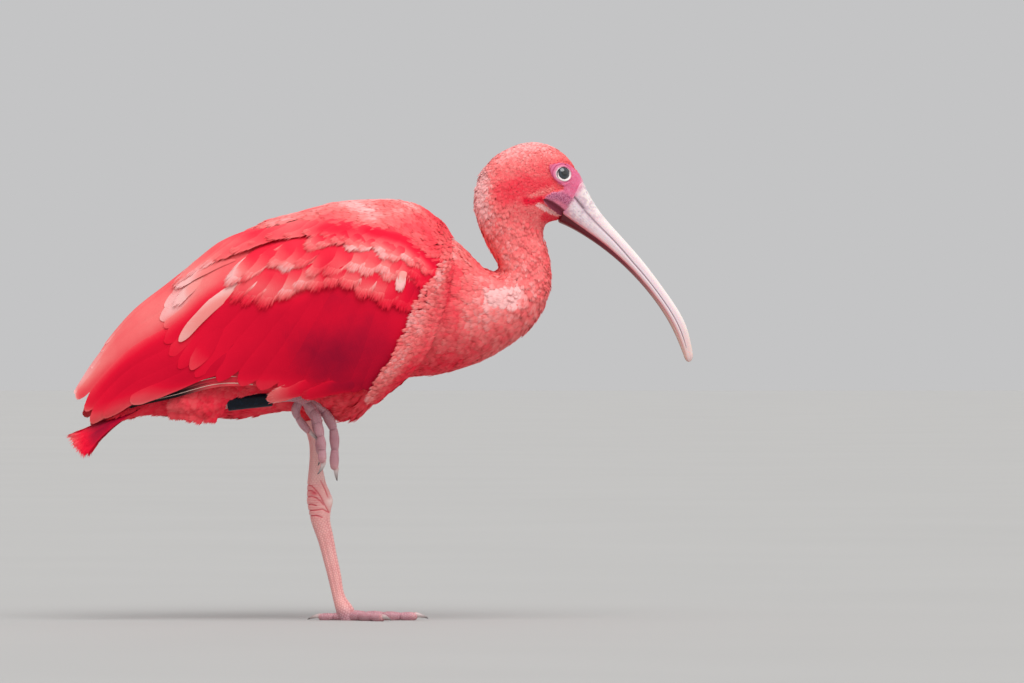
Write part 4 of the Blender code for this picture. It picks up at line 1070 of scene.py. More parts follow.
def make_thigh_coat(tree, finish, tufts):
    """The feathers of the standing leg's thigh, shorter towards the bare shin."""
    shares = np.linspace(0.1, 0.8, 40)
    rings = tube(LEG_LEFT[:6], shares, 48)
    rings = np.concatenate([rings, rings[:, :1]], axis=1)
    middle = rings[:, :-1].mean(axis=1, keepdims=True)
    low = middle + (rings - middle) * 0.85
    lie = unit(np.gradient(rings, axis=0))
    across = np.linspace(0, 1, rings.shape[1])[None]
    place = joined(0.1 + 0.2 * shares[:, None], across)
    tone = body_tone(rings)
    size = np.interp(rings[..., 2], (128, 140, 165), (5, 8, 11))
    made = bed("coat_thigh", low, lie, place, 1.0, size, 0.12, tone)
    grow_coat(made, tree, finish, ["thigh_left"], tufts, 1.9, 5, 0.1, 0.25)


def make_knee_fluff(tree, finish):
    """The loose belly feathers that hang over the raised leg's ankle and along its band."""
    tufts = tuft_group("fluff_tuft", 5, 8, 0.5, 0.3, 0.05, 0.1, 1)
    xs = np.linspace(-58, -128, 60)[:, None]
    shares = np.linspace(0, 1, 30)[None]
    low = np.interp(-xs, (58, 85, 91, 99, 112, 128), (174, 168, 158, 152, 153, 156))
    z = 178 + (low - 178) * shares
    wide = np.interp(-xs, (58, 87, 99, 118, 128), (25, 26.5, 28, 27.5, 24))
    y = -wide + 4 * smooth(0.6, 1, shares) * smooth(-87, -95, xs)
    points = joined(xs, y, z)
    points = points[:, ::-1]
    lie = unit(np.array([-1.0, 0, -0.5]) + 0.3 * waves(points, 12, 71)[..., None] * [0, 0.3, 1])
    place = joined(0.7 - 0.1 * (xs + 58) / 70, 0.3 + 0.2 * shares)
    tone = body_tone(points) + 0.1
    made = bed("coat_knee", points, lie, place, 1.0, 10.0, 0.12, tone)
    grow_coat(made, tree, finish, ["torso"], tufts, 1.4, 9, 0.08, 0.25)


SIDES = ((-1, "right"), (1, "left"))
# The soft feathers of the breast that lap over the wing's front edge: their front and rear limits.
BAND_FRONT = ((79.5, 268), (78, 259), (72, 238.5), (65, 220.5), (58, 203), (45.5, 186), (24, 165))
BAND_REAR = ((71.5, 268), (69.5, 259), (58, 242.5), (48, 221), (37, 199), (27, 183.5), (17, 166))


def out_at(x, z):
    """How far from the middle plane the body or the folded wing reaches, at side-view places."""
    flat = joined(x.ravel(), z.ravel())
    body = BODY.points[:, : BODY_COLUMNS // 2].reshape(-1, 3)
    wing = WING.points[:, WING_OVER:].reshape(-1, 3)[::3]
    reach = []
    for spot in flat:
        best = 0.0
        for cloud in (body, wing):
            gap = np.hypot(cloud[:, 0] - spot[0], cloud[:, 2] - spot[1])
            near = gap < 1.6
            if near.any():
                best = max(best, cloud[near, 1].max())
        reach.append(best)
    return np.array(reach).reshape(x.shape)


def make_breast_bands(tree, finish):
    """The bulging edge of breast feathers over each wing's front, their ends lying backwards."""
    tufts = tuft_group("band_tuft", 5, 6, 0.3, 0.12, 0.05, 0.08, 1)
    along = np.linspace(0, 1, 50)
    front = np.array(BAND_FRONT, float)
    rear = np.array(BAND_REAR, float)
    knots = np.linspace(0, 1, len(front))
    front, rear = through(knots, front, along), through(knots, rear, along)
    across = np.linspace(-0.25, 1, 14)
    flat = front[:, None] * (1 - across)[None, :, None] + rear[:, None] * across[None, :, None]
    reach = out_at(flat[..., 0], flat[..., 1])
    bulge = 3.6 * np.sin(np.clip(across + 0.2, 0, 1.2) * math.pi * 0.55)[None] - 2.8
    for side, word in SIDES:
        points = joined(flat[..., 0], side * (reach + bulge), flat[..., 1])
        back = unit(np.gradient(points, axis=1))
        down = unit(np.gradient(points, axis=0))
        lie = unit(back + 0.45 * down * np.linspace(0.4, 1.6, 50)[:, None, None])
        place = joined(along[:, None], across[None] * 0.6 + 0.2)
        thick = np.ones(reach.shape) * np.linspace(1, 0.75, 14)[None]
        near = smooth(-0.1, 0.5, across)[None]
        tone = body_tone(points) * (1 - near) + (0.78 + 0.05 * waves(points, 9, 31)) * near
        fields = [points, lie, place, thick, 9.5 * thick, 0.1 * thick, tone]
        if side > 0:
            fields = [field[:, ::-1] for field in fields]
        made = bed("coat_band_" + word, *fields)
        grow_coat(made, tree, finish, ["wing_" + word], tufts, 1.1, 6, 0.08, 0.22)


# The lower border of the wing's salmon coverts, in side view.
SALMON_LINE = (
    (84, 272), (66, 262), (50, 250), (20, 250), (-8, 256), (-36, 245), (-62, 243), (-85, 250),
    (-110, 240), (-140, 218), (-165, 200), (-190, 180), (-208, 168),
)


# The lower edge of the small mantle feathers that cover the wing's top, in side view.
MANTLE_EDGE = (
    (84, 280), (70.5, 270), (54, 281), (33, 291.5), (15, 295), (-10, 300), (-40, 301), (-70, 297),
)
# Patches of the wing in side view: x, z, how far they reach each way and the change in tone.
WING_SPOTS = (
    (-15, 263, 9, 8, -0.24), (51, 256.5, 10, 8, -0.22), (-11, 293, 17, 4, -0.16),
    (-81, 254, 8, 5, -0.14), (20, 276, 16, 6, 0.12), (-45, 260, 22, 8, 0.1), (16, 248, 20, 4, 0.1),
    (-85, 284, 20, 5, 0.1), (-125, 235, 12, 10, 0.1),
)


def wing_tone(points):
    """The wing's colour: salmon above, deep crimson below, and darkest low at the front, partly the
    feathers' deeper colour and partly painted shade; a painted shadow lies under the mantle's edge.
    """
    x, z = points[..., 0], points[..., 2]
    line = value_at(SALMON_LINE, np.clip(x, -208, 84))
    edge = value_at(WING_EDGE, np.clip(x, -205, 84))
    tone = 0.2 + 0.5 * smooth(-13, 9, z - line) + 0.2 * smooth(38, 60, z - line) * smooth(-80, -20, x)
    tone += 0.16 * smooth(-70, -125, x)
    # partly painted shade: darker low at the wing's front, where the feathers are also deeper in colour
    tone -= 0.17 * smooth(52, 14, np.hypot((x - 4) * 0.8, z - 188))
    tone += 0.24 * smooth(16, 4, z - edge) * smooth(10, -50, x)
    for at_x, at_z, wide, tall, change in WING_SPOTS:
        tone += change * peak(x - at_x, wide) * peak(z - at_z, tall)
    # painted shadow: a dark band just under the mantle's lower edge, where its feathers shade the wing
    mantle = value_at(MANTLE_EDGE, np.clip(x, -70, 84))
    tone -= 0.3 * peak(z - mantle + 3.5, 3.5) * smooth(8, 20, x) * smooth(76, 70, x)
    return tone + 0.04 * waves(points, 26, 11)


class Feathers:
    """Gathers feathers that bend with the surface they lie on into one mesh."""

    def __init__(self, place, tone_at, seed):
        self.place = place
        self.tone_at = tone_at
        self.rng = np.random.default_rng(seed)
        self.points = []
        self.faces = []
        self.fields = {key: [] for key in ("tone", "along", "barb", "shade", "dark", "white")}
        self.maps = []
        self.count = 0

    def add(self, points, faces, patch, **fields):
        """Adds one part; patch gives its places on the unwrap."""
        start = self.count
        self.points.append(points)
        self.faces += [tuple(p + start for p in face) for face in faces]
        self.maps.append(patch)
        for key, held in self.fields.items():
            held.append(np.broadcast_to(fields.get(key, 0.0), len(points)))
        self.count += len(points)

    def vane(self, root, tip, width, low, top, shape, tones, patch, bend=0.0, pale=0.0):
        """One feather from root to tip on the surface, its lift going from low to top."""
        rng = self.rng
        root, tip = np.array(root, float), np.array(tip, float)
        length = np.linalg.norm(tip - root)
        along = (tip - root) / length
        over = np.array([along[1], -along[0]])
        shade = rng.uniform()
        shape = {**shape, "round": shape["round"] or 1 - 0.6 * width / length}
        rows, columns = shape["rows"], shape["columns"]
        steps = np.linspace(0, 1, rows)
        u = (1 - (1 - steps) ** 1.9)[:, None]
        v = np.linspace(-1, 1, columns)[None]
        wide = np.minimum(1, (u / shape["swell"] + 0.05) ** 0.6) * rounded(u, shape["round"])
        wide = wide * (1 + 0.02 * np.sin(u * 9 + shade * 6) + 0.01 * rng.normal(size=(rows, 1)))
        pull = -shape["blunt"] * width / length * (v * wide) ** 2 * smooth(0.6, 1, u)

        def spots(u, v, wide, lift):
            side = v * wide * width / 2 + bend * length * (u - u * u)
            flat = root + along * ((u * length)[..., None]) + over * side[..., None]
            return self.place(flat[..., 0], flat[..., 1], lift)

        def lift_at(u, v, wide):
            rise = low + (top - low) * np.minimum(1.0, u * 1.7)
            return rise - shape["cup"] * width * v * v * wide + shape["lean"] * v * np.minimum(1, 2 * u)

        lift = lift_at(u, v, wide)
        grid = spots(u + pull, v, wide, lift)
        below = spots(u + pull, v, wide * 0.98, lift - VANE_THICK)
        points = np.concatenate([grid.reshape(-1, 3), below[:, 1:-1].reshape(-1, 3)])
        faces = loft_faces(rows, columns, 0, False, False)
        inner = columns - 2
        start = rows * columns

        def low_at(i, k):
            if k == 0 or k == columns - 1:
                return i * columns + k
            return start + i * inner + k - 1

        for i in range(rows - 1):
            for k in range(columns - 1):
                faces.append((low_at(i, k), low_at(i + 1, k), low_at(i + 1, k + 1), low_at(i, k + 1)))
        for i in (0, rows - 1):
            rim = [i * columns + k for k in range(columns)] + [low_at(i, k) for k in range(inner, 0, -1)]
            faces.append(tuple(rim if i else reversed(rim)))
        ends = smooth(1 - shape["tip"] * 1.6, 1, u)
        edge = np.abs(v) ** 4
        own = tones[0] + (tones[1] - tones[0]) * ends
        own = own + tones[2] * edge * smooth(0.1, 0.5, u)
        barb = u * length - np.abs(v) * wide * width * 0.5
        spread = joined(u - 0.5, v * 0.5) * patch[2:4] + np.array(patch[:2])

        def both(field):
            more = np.shape(field)[2:]
            held = np.broadcast_to(field, (rows, columns, *more))
            return np.concatenate([held.reshape(-1, *more), held[:, 1:-1].reshape(-1, *more)])

        black = smooth(*shape["dark"], u) if "dark" in shape else 0.0
        self.add(points, faces, both(spread), tone=both(own) + self.tone_at(points), along=both(u),
            barb=both(barb) + 30 * shade, shade=shade, dark=both(black), white=pale)
        if shape["shaft"]:
            self.shaft(spots, lift_at, length, width, shape["shaft"], shade, patch)
        if shape["barbs"]:
            self.fringe(spots, lift_at, length, width, tones, shade, patch, shape)

    def shaft(self, spots, lift_at, length, width, wide, shade, patch):
        """The pale shaft along a feather's middle."""
        u = np.linspace(0.05, 0.985, 20)[:, None]
        sides = np.array([[-1.0, 0.0, 1.0]])
        thin = (1.05 - u) * wide / width + 0 * sides
        lift = lift_at(u, 0 * u, 1.0) + np.array([[0.0, 0.3, 0.0]]) * wide + 0.05
        grid = spots(u + 0 * sides, sides + 0 * u, thin, lift)
        faces = loft_faces(20, 3, 0, True, True)
        spot = np.array(patch[:2])[None] + 0 * u
        self.add(grid.reshape(-1, 3), faces, np.repeat(spot, 3, 0), tone=0.9, shade=shade, white=1.0)

    def fringe(self, spots, lift_at, length, width, tones, shade, patch, shape):
        """Loose barbs round a feather's end."""
        rng = self.rng
        for q in rng.uniform(-1, 1, shape["barbs"]):
            if abs(q) > 0.5:
                u = 1 - (abs(q) - 0.5) / 0.5 * shape["tip"]
                v = math.copysign(1.0, q)
            else:
                u, v = 0.99 - 0.1 * abs(q), q / 0.5
            wide = float(rounded(np.array([[u]]), shape["round"])[0, 0])
            long = shape["reach"] * rng.uniform(0.35, 1.15)
            ahead = rng.uniform(0.8, 1.1) * long / length
            outward = v * rng.uniform(0.05, 0.35) * long / (width / 2)
            half = rng.uniform(0.16, 0.32) / (width / 2)
            middle = v * wide
            us = np.array([u - 0.08, u - 0.08, u + ahead * 0.1, u + ahead * 0.5, u + ahead * 0.5, u + ahead])
            bent = middle + outward * 0.4
            vs = np.array([middle - half, middle + half, middle, bent - half, bent + half, middle + outward])
            base = float(lift_at(np.array([[min(u, 1)]]), np.array([[v]]), wide)[0, 0])
            curl = rng.uniform(-0.5, 0.5)
            lift = base + np.array([-0.1, -0.1, 0.3, 0.2 + curl * 0.4, 0.2 + curl * 0.4, curl])
            points = spots(us, vs, np.ones(6), lift)
            faces = [(0, 2, 1), (0, 3, 2), (3, 5, 2), (2, 5, 4), (2, 4, 1), (1, 4, 3, 0), (3, 4, 5)]
            spot = np.array(patch[:2]) + np.array(patch[2:4]) * [min(u, 1) - 0.5, v * 0.5]
            lighter = tones[1] + rng.uniform(-0.04, 0.1)
            self.add(points, faces, np.repeat(spot[None], 6, 0) + rng.uniform(-0.0006, 0.0006, (6, 2)),
                tone=self.tone_at(points) + lighter, along=min(u, 1), barb=30 * shade + q * 25,
                shade=shade)

    def finish(self, name, side=1):
        """Makes the mesh, mirrored to the bird's right for a side of -1."""
        points = np.concatenate(self.points)
        faces = self.faces
        if side < 0:
            points = points * [1, -1, 1]
            faces = [tuple(reversed(face)) for face in faces]
        obj = solid(name, points, faces, 70)
        for key, held in self.fields.items():
            put(obj, key, np.concatenate(held))
        layer = obj.data.uv_layers.new(name="OFBake")
        corners = np.empty(len(obj.data.loops), np.int32)
        obj.data.loops.foreach_get("vertex_index", corners)
        spread = np.concatenate(self.maps)
        layer.uv.foreach_set("vector", np.clip(spread[corners], 0, 1).astype(np.float32).ravel())
        return obj


def rounded(u, start):
    """A feather's rounded end: 1 up to start, then a quarter of an ellipse down to the tip."""
    share = np.clip((u - start) / (1 - start), 0, 1)
    return 0.04 + 0.96 * np.sqrt(np.maximum(0, 1 - share**2))


# Sections of the bill from its root to near its tip: top x, top z, bottom x, bottom z, half width.
BILL_SECTIONS = (
    (176.2, 329.2, 158.2, 298.1, 9.4), (182.2, 317.2, 165, 295.1, 7.6), (198, 295.5, 186, 282.4, 5.6),
    (219, 271.9, 209.6, 262.9, 4.6), (239.2, 245.2, 230.6, 238.9, 3.9), (253.9, 220.1, 244.5, 216, 3.4),
    (258.6, 200.2, 251.8, 198.4, 2.6),
)
BILL_TIP = (256.2, 193.8)
BILL_SUNK = 6.0  # how far the bill's root reaches back under the skin
MOUTH_SHARE = 0.8  # how far down the bill's side the mouth line runs
NOSTRIL = ((169.4, 317.2), (172, 314.4), (176.6, 308.6))


def bill_rows():
    """The bill's sections close together, its root sunk and its tip rounded, and each one's reach."""
    table = np.array(BILL_SECTIONS)
    middles = (table[:, 0:2] + table[:, 2:4]) / 2
    knots = lengths_along(middles)
    at = np.linspace(-BILL_SUNK, knots[-1], 230)
    rows = through(knots, table, np.maximum(at, 0))
    middle = (rows[:, 0:2] + rows[:, 2:4]) / 2
    reach = (rows[:, 0:2] - rows[:, 2:4]) / 2
    half = rows[:, 4]
    root_way = (middles[1] - middles[0]) / np.linalg.norm(middles[1] - middles[0])
    sunk = np.minimum(at, 0)
    middle = middle + sunk[:, None] * root_way
    less = 1 - 0.6 * (sunk / BILL_SUNK) ** 2
    reach, half = reach * less[:, None], half * less
    turns = np.linspace(0, math.radians(84), 17)[1:]
    tip = np.array(BILL_TIP) - middles[-1]
    middle = np.concatenate([middle, middles[-1] + tip * np.sin(turns)[:, None]])
    reach = np.concatenate([reach, reach[-1] * np.cos(turns)[:, None]])
    half = np.concatenate([half, half[-1] * np.cos(turns)])
    share = np.concatenate([np.clip(at / knots[-1], 0, 1), np.ones(len(turns))])
    return middle, reach, half, share


def bill_relief(x, z, across, share):
    """Nostril, groove, ridges and fine growth lines: how far the bill's side stands out."""
    nostril, _ = distance_to(NOSTRIL, x, z)
    line = np.interp(share, (0, 0.12, 0.3, 0.45, 1), (0.385, 0.36, 0.4, 0.5, 0.52))
    deep = np.interp(share, (0, 0.1, 0.35, 0.9, 0.97), (0, 0.25, 0.7, 0.55, 0))
    groove = peak(across - line, 0.035)
    relief = -1.3 * peak(nostril, 0.75) - deep * groove
    relief += 0.18 * deep * peak(across - line - 0.12, 0.06)
    relief += 0.16 * smooth(0.64, 0.78, across) * smooth(0.9, 0.5, share)
    relief += 0.05 * np.sin(across * 90 + 3 * np.sin(share * 9)) * smooth(0.7, 0.2, share)
    return relief, np.maximum(groove * (deep > 0.05), peak(nostril, 0.8))


def make_bill(name, first, last, node, finish):
    """One mandible, from one share of the bill's depth to another, its meeting face flat."""
    middle, reach, half, share = bill_rows()
    steps = np.linspace(first, last, 40)
    side = np.concatenate([steps, steps[::-1]])
    sign = np.concatenate([np.ones(40), -np.ones(40)])
    if first == 0:
        side, sign = side[1:], sign[1:]
    if last == 1:
        keep = np.arange(len(side)) != len(side) // 2
        side, sign = side[keep], sign[keep]
    full = (1 - np.abs(2 * side - 1) ** 2.4) ** (1 / 2.2)
    down = 1 - 2 * side
    x = middle[:, 0:1] + reach[:, 0:1] * down[None]
    z = middle[:, 1:2] + reach[:, 1:2] * down[None]
    spots = joined(x, 0, z)
    relief, groove = bill_relief(x, z, side[None] + 0 * x, share[:, None] + 0 * x)
    relief += 0.06 * waves(spots, 1.4, 41) * smooth(0.35, 0.05, share)[:, None]
    y = sign[None] * np.maximum(half[:, None] * full[None] + relief * full[None], 0.0)
    points = joined(x, y, z)
    made = solid(name, points, loft_faces(*x.shape), 45)
    put(made, "across", np.broadcast_to(side, x.shape))
    put(made, "reach", np.broadcast_to(share[:, None], x.shape))
    put(made, "groove", groove)
    put(made, "rosy", 1 - horn_share(x, z))
    piece(made, finish, "horn", node)


def bill_material():
    """Horn, nearly white on the ridge and pink at the sides; low at the root it is dark maroon, partly its
    own colour and partly painted shade under the upper mandible.
    """
    made, tree, _ = new_material("bill_horn", 0.34, Subsurface_Weight=0.08, Subsurface_Scale=0.001)
    across, reach = tree.attribute("across"), tree.attribute("reach")
    drawn = {"X": across, "Y": tree.times(reach, 0.6)}
    fibres = tree.noise(1 / (26 * MM), 4, tree.node("ShaderNodeCombineXYZ", drawn).outputs[0])
    moved = tree.math("ADD", across, tree.math("MULTIPLY_ADD", fibres, 0.16, -0.08))
    upper = tree.ramp(moved, ((0, (246, 236, 232)), (0.14, (240, 222, 220)), (0.3, (238, 208, 214)),
        (0.45, (242, 222, 228)), (0.6, (240, 220, 224)), (0.7, (234, 196, 198)),
        (0.79, (214, 116, 122)), (0.81, (206, 100, 108))))
    # partly painted shade: the lower mandible is dark maroon at its root, its own colour deepened as if
    # shaded by the upper mandible
    lower = tree.ramp(reach, ((0, (92, 0, 20)), (0.22, (108, 10, 32)), (0.42, (138, 50, 62)),
        (0.58, (176, 112, 112)), (0.75, (214, 166, 156)), (1, (222, 184, 170))))
    edge = tree.mix(above(tree, across, 0.97, 0.05), lower, (150, 92, 88))
    side = tree.mix(above(tree, across, 0.805, 0.01), upper, edge)
    worn = tree.mix(tree.times(above(tree, reach, 0.9, 0.3), 0.6), side, (230, 186, 172))
    near_root = tree.rest(above(tree, reach, 0.16, 0.2))
    blotch = tree.times(above(tree, tree.noise(3.2, 3), 0.52, 0.2), near_root)
    upper_side = tree.rest(above(tree, across, 0.78, 0.04))
    blotch = tree.times(tree.times(blotch, upper_side), 0.6)
    mottled = tree.mix(blotch, worn, (190, 158, 176))
    flushed = tree.times(tree.attribute("rosy"), upper_side)
    blushed = tree.mix(tree.times(flushed, 0.85), mottled, (226, 128, 160))
    lined = tree.mix(tree.times(tree.attribute("groove"), 0.75), blushed, (128, 96, 112))
    tree.paint(lined, fibres, 0.25)
    return made


def eye_material():
    """Wet eye: black pupil, dark slate iris, darker at its rim."""
    made, tree, _ = new_material("eye", 0.05, Coat_Weight=1.0, Coat_Roughness=0.02)
    fine = tree.math("MULTIPLY_ADD", tree.noise(0.5, 3), 0.3, -0.15)
    colour = tree.ramp(tree.math("DIVIDE", tree.math("ADD", tree.attribute("far"), fine), 5.0),
        ((0, (4, 4, 6)), (0.42, (6, 6, 9)), (0.5, (26, 32, 40)), (0.66, (46, 58, 68)),
        (0.82, (26, 32, 40)), (0.9, (16, 14, 20)), (1, (60, 40, 44))))
    tree.paint(colour)
    return made


def make_eyes():
    """Both eyeballs, deep set behind their lids."""
    finish = eye_material()
    for (centre, outward), node in zip(eye_places(), ("eye_right", "eye_left")):
        points, faces = eye_shape(centre, outward, 0.0, 64, 40)
        ball = solid("ball_" + node, points, faces)
        away = np.array(points) - centre
        along = away @ outward
        far = np.linalg.norm(away - along[:, None] * outward, axis=1)
        put(ball, "far", np.where(along > 0, far, 5.0))
        piece(ball, finish, "eye", node)


# Key rows of each tier of the folded wing: root x, root z, tip x, tip z, width.
PRIMARIES = (
    (-52, 181, -178, 159.4, 6), (-58, 177.5, -174, 157.6, 5), (-66, 174.5, -166, 157.6, 4),
)
SECONDARIES = (
    (16, 180, -166, 164, 15), (16, 202, -184, 156, 19), (5, 221, -193, 153.4, 24),
    (-6, 240, -202.5, 156.5, 20), (-13.5, 259, -207.5, 168, 20), (-21, 281, -204.5, 177, 17),
    (-30, 297, -198, 186, 16), (-45, 302.5, -190, 199, 16), (-55, 302, -183, 210, 14),
)
GREATER_COVERTS = (
    (48, 250, 16, 172, 18), (26, 256, -13, 169.5, 20), (2, 262, -53, 171, 21), (-14, 266, -87, 177, 21),
    (-30, 270, -123, 186, 20), (-44, 274, -136, 207, 18), (-56, 278, -140, 228, 16),
    (-66, 282, -132, 247, 14),
)
MEDIAN_COVERTS = (
    (60, 266, 50, 238, 16), (44, 274, 30, 240, 18), (22, 279, 4, 242, 18), (0, 284, -22, 247, 18),
    (-20, 285, -48, 239, 18), (-36, 286, -72, 240, 17), (-46, 289, -90, 252, 16),
)
LESSER_COVERTS = (
    (74, 270, 64, 250, 13), (62, 277, 48, 256, 15), (44, 286, 26, 258, 16), (20, 291, -4, 266, 16),
    (-8, 293, -40, 264, 16), (-34, 293, -74, 262, 15),
)
SHOULDER_COVERTS = (
    (76, 272, 68, 259, 10), (62, 281, 50, 268, 12), (44, 289, 28, 275, 13), (22, 294, 0, 281, 13),
    (0, 297, -28, 282, 13),
)
SCAPULARS = (
    (62, 290, 30, 277, 16), (43, 300, 0, 286, 17), (16.5, 306, -36, 290, 17), (-6, 307, -72, 284, 16),
    (-28, 305, -104, 268, 15), (-50, 302, -130, 252, 14),
)
VANE_THICK = 0.25
# A feather's shape. Its rounded end starts at round, and for 0 the end is near a half circle.
FLIGHT = {
    "rows": 26, "columns": 9, "swell": 0.16, "round": 0, "blunt": 0.25, "cup": 0.05, "lean": 0.45,
    "tip": 0.12, "shaft": 0, "barbs": 0, "reach": 1,
}
COVERT = {**FLIGHT, "rows": 18, "swell": 0.45, "round": 0.6, "tip": 0.3, "blunt": 0.15, "cup": 0.06}
BLACK_FLIGHT = {**FLIGHT, "dark": (0.25, 0.6), "shaft": 0.7}
SLEEK = {**COVERT, "reach": 1.6, "rows": 24, "round": 0, "swell": 0.3, "lean": 0.2, "cup": 0.04}
FLUFFY = {**COVERT, "barbs": 210, "reach": 6.0, "round": 0.5, "lean": 0.35}
SMALL = {**COVERT, "barbs": 150, "reach": 5.0, "rows": 12, "columns": 7, "round": 0.5, "lean": 0.3}
LONG = {**COVERT, "barbs": 60, "reach": 2.8, "round": 0.75, "rows": 20, "lean": 0.4}
# Of each tier: name, key rows, how many, width against the key rows, tip height over the wing's
# surface, shape, and how the tone departs at root, tip and edge.
WING_TIERS = (
    ("primary", PRIMARIES, 3, 1, -3.2, BLACK_FLIGHT, (0.2, 0.2, 0.1)),
    ("secondary", SECONDARIES, 9, 1.3, -2.2, FLIGHT, (-0.1, 0.04, 0.16)),
    ("greater", GREATER_COVERTS, 16, 1.2, -1.7, SLEEK, (0, 0.03, 0.02)),
    ("median", MEDIAN_COVERTS, 14, 1.05, -0.9, FLUFFY, (-0.24, 0.24, 0.02)),
    ("lesser", LESSER_COVERTS, 15, 1.05, -0.4, FLUFFY, (-0.2, 0.1, 0.02)),
    ("shoulder", SHOULDER_COVERTS, 15, 1.05, 0, SMALL, (-0.2, 0.08, 0.02)),
    ("scapular", SCAPULARS, 14, 1.05, -0.1, LONG, (-0.12, 0, 0.06)),
)
# Single feathers that stand out on each wing: root, tip, width, lift, shape, tones, pale.
MARKED_FEATHERS = (
    (-82, 252, -126, 210, 13, -0.5, {**SLEEK, "swell": 0.1}, (0.5, 0.5, 0), 0.26),
    (-90, 228, -117, 188, 23, -0.9, SLEEK, (0, 0.3, 0), 0),
    (-104, 262, -129, 238, 11, -0.3, LONG, (0, 0.24, 0.02), 0.2),
    (-84, 271, -128, 251, 8, -0.2, LONG, (0, 0.2, 0.02), 0.1),
    (44, 270, 39.5, 250, 6, 0.3, SMALL, (0.2, 0.5, 0), 0.45),
    (2, 180, -60, 165.8, 13, -1.4, {**SLEEK, "barbs": 30}, (0.05, 0.3, 0.2), 0),
    (22, 176, -34, 168, 12, -1.2, {**SLEEK, "barbs": 30}, (0, 0.16, 0.2), 0),
)


def make_wing(side, word, finish):
    """The folded wing's feathers, tier over tier, laid on its outer surface."""

    def spot(x, z):
        return np.array([x, WING.round_at(x, z)])

    for t, (tier, keys, count, fit, top, shape, tones) in enumerate(WING_TIERS):
        feathers = Feathers(WING.place, wing_tone, SEED + t + (side > 0) * 50)
        rng = feathers.rng
        laid = through(np.arange(len(keys)), np.array(keys), np.linspace(0, len(keys) - 1, count))
        soft = shape["barbs"] > 100
        stray = 0.08 if soft else 0.008
        for i in range(count):
            root_x, root_z, tip_x, tip_z, width = laid[i]
            root, tip = spot(root_x, root_z), spot(tip_x, tip_z)
            tip = tip + (tip - root) * rng.uniform(-2.5 * stray, stray)
            tip = tip + rng.uniform(-stray, stray, 2) * np.linalg.norm(tip - root)
            low = -5.6 if tier == "primary" else np.interp(-root_x, (-60, -30, 10), (-2.2, -3.4, -4.4))
            patch = (0.04 + 0.92 * (i + 0.5) / count, 0.4, 0.9 / count, 0.7)
            varied = 0.09 if soft else 0.03
            own = np.array(tones) + [0, rng.uniform(-varied, varied), 0]
            fit_here = fit * rng.uniform(0.8, 1.3) if soft else fit
            lifted = top + rng.uniform(-0.15, 0.15)
            bend = rng.uniform(-0.02, 0.02)
            feathers.vane(root, tip, width * fit_here, low, lifted, shape, own, patch, bend)
        if tier == "scapular":
            for i, row in enumerate(MARKED_FEATHERS):
                width, lifted, kind, own, pale = row[4:]
                patch = (0.1 + 0.18 * i, 0.86, 0.16, 0.1)
                feathers.vane(spot(*row[:2]), spot(*row[2:4]), width, -2.4, lifted, kind, own, patch, 0,
                    pale)
        piece(feathers.finish(f"wing_{word}_{tier}", side), finish, "plumage", "wing_" + word)


def make_mantles(tree, finish):
    """The soft feathers of the back that run over the top of each folded wing."""
    tufts = tuft_group("mantle_tuft", 5, 8, 0.34, 0.12, 0.02, 0.05, 2)
    xs = np.linspace(83.5, -70, 90)
    shares = np.linspace(0, 1, 34)
    edges = np.array([WING.round_at(x, z) for x, z in zip(xs, value_at(MANTLE_EDGE, xs))])
    ways = -1 + (edges[:, None] + 1) * shares[None]
    for side, word in SIDES:
        sunk = 1.2 + 2.2 * smooth(72, 84, xs)[:, None] + 1.5 * smooth(-50, -70, xs)[:, None]
        points = WING.place(xs[:, None], ways, -sunk + 0 * ways)
        lie = unit(np.gradient(points, axis=0))
        over = unit(np.gradient(points, axis=1))
        lie = unit(lie + over * (0.22 + 0.3 * waves(points, 14, 51)[..., None]))
        thick = smooth(-70, -40, xs)[:, None] * smooth(84, 80, xs)[:, None] + 0 * ways
        size = np.interp(xs, (-70, 40, 84), (15, 13, 9))[:, None] + 0 * ways
        tone = wing_tone(points) + 0.02 + 0.05 * waves(points * [0.35, 1, 1], 5, 52)
        place = joined((83.5 - xs[:, None]) / 320, 0.05 + shares[None] * 0.3)
        flip = [1, side, 1]
        fields = [points * flip, lie * flip, place, thick, size, 0.03 + 0 * ways, tone]
        if side < 0:
            fields = [field[:, ::-1] for field in fields]
        made = bed("coat_mantle_" + word, *fields)
        grow_coat(made, tree, finish, ["wing_" + word], tufts, 1.9, 8, 0.035, 0.12)


TAIL_ROOT = np.array((-150, 0, 164))
RECTRICES = 12
TAIL_LENGTH = 66
TAIL_DROOP = math.radians(24)
TAIL_SPREAD = math.radians(15)
TAIL_BASE = 8
TAIL_WIDTH = 13
TAIL_ARCH = 13


def tail_place(across, reach, lift):
    """Places on the tail's arched fan: across and reach in millimetres."""
    share = across / (TAIL_BASE + TAIL_LENGTH * math.sin(TAIL_SPREAD))
    back = np.array([-math.cos(TAIL_DROOP), 0.0, -math.sin(TAIL_DROOP)])
    up = np.array([-math.sin(TAIL_DROOP), 0.0, math.cos(TAIL_DROOP)])
    sunk = TAIL_ARCH * share**2 * np.clip(reach / TAIL_LENGTH, 0, 1.2)
    out = joined(0, across, 0)
    return TAIL_ROOT + back * reach[..., None] + out + up * (lift - sunk)[..., None]


def tail_tone(points):
    """The tail's colour: deep at its base, partly its own colour and partly painted shade, paler at the worn
    tips.
    """
    # partly painted shade: the tone stays at its deepest over the tail's base and middle
    return 0.62 * smooth(-186, -212, points[..., 0])


WORN = {**FLIGHT, "rows": 24, "barbs": 120, "reach": 4.5, "round": 0.9, "tip": 0.1, "cup": 0.03}


